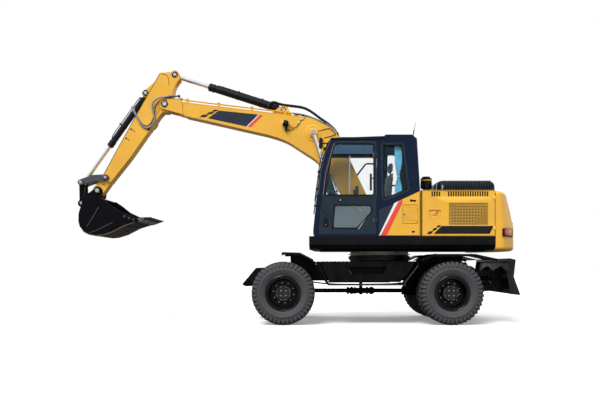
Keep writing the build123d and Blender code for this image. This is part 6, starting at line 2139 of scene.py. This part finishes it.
# ---- soft goods
@dataclass(frozen=True)
class Cushion:
    """A stuffed pad: cloth pressure fills out a slightly smaller block, then its channels are sewn in."""

    name: str
    middle: Triple
    size: Triple
    lean: float
    channels: tuple[float, ...]
    thin: int
    cap: float = 15.0
    pressure: float = 4.0
    frames: int = 20
    sewn: float = 0.007
    thread: float = 0.006

    def _block(self) -> bpy.types.Mesh:
        """The pad before it is filled, upright about the origin."""
        half = [length / 2000 for length in self.size]
        mesh = bpy.data.meshes.new(self.name)
        bm = bmesh.new()
        bmesh.ops.create_cube(bm, size=1.0)
        bmesh.ops.scale(bm, vec=[2 * length for length in half], verts=bm.verts)
        bmesh.ops.bevel(bm, geom=list(bm.edges), offset=min(half) * 0.7, segments=4,
                        profile=0.5, affect="EDGES")
        bm.to_mesh(mesh)
        bm.free()
        return mesh

    def _fill(self, holder: bpy.types.Object) -> None:
        """Runs the cloth and limits how far any point moves."""
        scene = bpy.context.scene
        before = [vertex.co.copy() for vertex in holder.data.vertices]
        modifier = holder.modifiers.new("fill", "CLOTH")
        settings = modifier.settings
        settings.use_pressure = True
        settings.uniform_pressure_force = self.pressure
        settings.effector_weights.gravity = 0.0
        settings.quality = 5
        for step in range(1, self.frames + 1):
            scene.frame_set(step)
        filled = holder.evaluated_get(bpy.context.evaluated_depsgraph_get()).to_mesh()
        after = [vertex.co.copy() for vertex in filled.vertices]
        holder.modifiers.remove(modifier)
        for vertex, old, new in zip(holder.data.vertices, before, after):
            shift = new - old
            if shift.length > self.cap / 1000:
                shift *= self.cap / 1000 / shift.length
            vertex.co = old + shift
        scene.frame_set(1)

    def _sew(self, mesh: bpy.types.Mesh) -> None:
        """Pulls the channels in on both faces."""
        long_axis = 0 if self.thin == 2 else 2
        half = self.size[self.thin] / 2000
        for vertex in mesh.vertices:
            near = min(abs(vertex.co[long_axis] - line / 1000) for line in self.channels)
            depth = self.sewn * math.exp(-((near / self.thread) ** 2))
            if abs(vertex.co[self.thin]) > half * 0.45:
                vertex.co[self.thin] -= math.copysign(depth, vertex.co[self.thin])

    def build(self) -> bpy.types.Object:
        """Builds the pad."""
        mesh = self._block()
        holder = placed(self.name, mesh)
        remesh = holder.modifiers.new("even", "REMESH")
        remesh.mode, remesh.voxel_size = "VOXEL", 0.006
        even = evaluated(holder)
        holder.modifiers.clear()
        holder.data = even
        bpy.data.meshes.remove(mesh)
        self._fill(holder)
        divide = holder.modifiers.new("smooth", "SUBSURF")
        divide.levels = divide.render_levels = 1
        smooth = evaluated(holder)
        self._sew(smooth)
        discard(holder)
        turn = Matrix.Rotation(math.radians(self.lean), 3, "Y")
        filled = Sculpt().add(smooth, moved(*self.middle, turn=turn))
        made = filled.piece(self.name, "upper", Finish.SEAT, 180)
        return made


@dataclass
class Seat:
    """The driver's seat: sprung cushion, back, headrest, side bolsters and piping."""

    middle_y: float = SEAT_Y

    def build(self) -> None:
        """Builds the seat in place of its plain block."""
        y = self.middle_y
        cushion = Cushion("seat_cushion", (180, y, 1950), (460, 400, 88), 0, (-130, -45, 40, 125), 2).build()
        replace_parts(cushion, "driver_seat")
        Cushion("seat_back", (-72, y, 2285), (78, 385, 480), -8.5, (-140, -60, 20, 100), 0).build()
        Cushion("seat_headrest", (-118, y, 2650), (62, 225, 150), -2, (-20, 45), 0, 10).build()
        piping = Sculpt()
        for side in (LEFT, RIGHT):
            piping.tube([(-50, y + side * 196, 1986), (150, y + side * 204, 1992),
                         (330, y + side * 204, 1990), (398, y + side * 190, 1972)], 4, 8)
            piping.tube([(-36, y + side * 188, 2060), (-62, y + side * 192, 2280),
                         (-96, y + side * 186, 2500)], 4, 8)
        piping.piece("seat_piping", "upper", Finish.SEAL)
        frame_parts = Sculpt()
        frame_parts.plate(rounded(rect(-84, 1884, 424, 1906), 8), y - 205, y + 205, 3)
        frame_parts.plate([(-108, 1960), (-92, 1960), (-128, 2545), (-146, 2545)], y - 190, y + 190, 5)
        for side in (LEFT, RIGHT):
            frame_parts.rod((-118, y + side * 60, 2520), (-124, y + side * 60, 2610), 8, 12)
            frame_parts.rod((-90, y + side * 212, 1990), (-90, y + side * 198, 1990), 34, 20, 3)
        frame_parts.piece("seat_frame", "upper", Finish.TRIM)


@dataclass
class Curtain:
    """The gathered sun curtain behind the rear side window, tied in the middle."""

    top: float = 2978.0
    bottom: float = 2195.0
    middle_x: float = -210.0
    y: float = 1163.0
    cloth: float = 360.0
    folds: int = 7
    fold_depth: float = 0.423
    half_open: float = 60.0
    drawn_in: float = 38.0
    tie_z: float = 2470.0
    tie_reach: float = 130.0

    def _half_width(self, z: float) -> float:
        """Half the gathered width at a height, drawn in at the tie."""
        return self.half_open - self.drawn_in * math.exp(-(((z - self.tie_z) / self.tie_reach) ** 2))

    def build(self) -> None:
        """Builds the cloth, its tie and its rail."""
        columns, rows = self.folds * 12, 90
        bm = bmesh.new()
        grid = []
        for step in range(rows + 1):
            z = self.top + (self.bottom - self.top) * step / rows
            half = self._half_width(z)
            fold_run = self.cloth / (2 * self.folds)
            rise = math.sqrt(max(0.0, fold_run**2 - (half / self.folds) ** 2)) * self.fold_depth
            line = []
            for column in range(columns + 1):
                share = column / columns
                sway = 1.5 * math.sin(z / 70 + share * 9)
                phase = math.tau * self.folds * share
                x = self.middle_x + half * (1 - 2 * share) + sway
                line.append(bm.verts.new(row(x, self.y + rise * math.sin(phase), z)))
            grid.append(line)
        for upper, lower in zip(grid, grid[1:]):
            for column in range(columns):
                bm.faces.new((upper[column], lower[column], lower[column + 1], upper[column + 1]))
        cloth = Sculpt()
        cloth.bm.free()
        cloth.bm = bm
        bmesh.ops.recalc_face_normals(bm, faces=bm.faces)
        area = sum(face.calc_area() for face in bm.faces)
        made = cloth.piece("sun_curtain", "upper", Finish.CURTAIN, 180)
        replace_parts(made, "curtain")
        centre = (self.middle_x, self.y)
        tie = Sculpt().collar(oval(centre, 26, 15, 24), oval(centre, 23.5, 12.5, 24),
                              self.tie_z - 12, self.tie_z + 12)
        tied = tie.piece("curtain_tie", "upper", Finish.CURTAIN)
        rail = Sculpt().rod((-400, self.y, 2986), (60, self.y, 2986), 5, 10, 1)
        for index in range(6):
            rail.rod((-262 + 21 * index, self.y, 2978), (-259 + 21 * index, self.y, 2992), 9, 12, 1)
        rail.piece("curtain_rail", "upper", Finish.STEEL)


def main() -> None:
    """Builds the whole machine's looks."""
    logging.basicConfig(level=logging.INFO, format="%(message)s")
    Studio().build()
    dress_nodes()
    TwinTyres().build()
    WheelFittings().build()
    for part in (CabTrim(), SidePanel(), BayDoors(), HoodDetails(), Tail(), BoomDetails(), StickDetails(),
                 BucketDetails(), Undercarriage(), RightSide(), Seat(), Curtain(), *PIN_CAPS, *CYLINDERS):
        part.build()


if __name__ == "__main__":
    main()
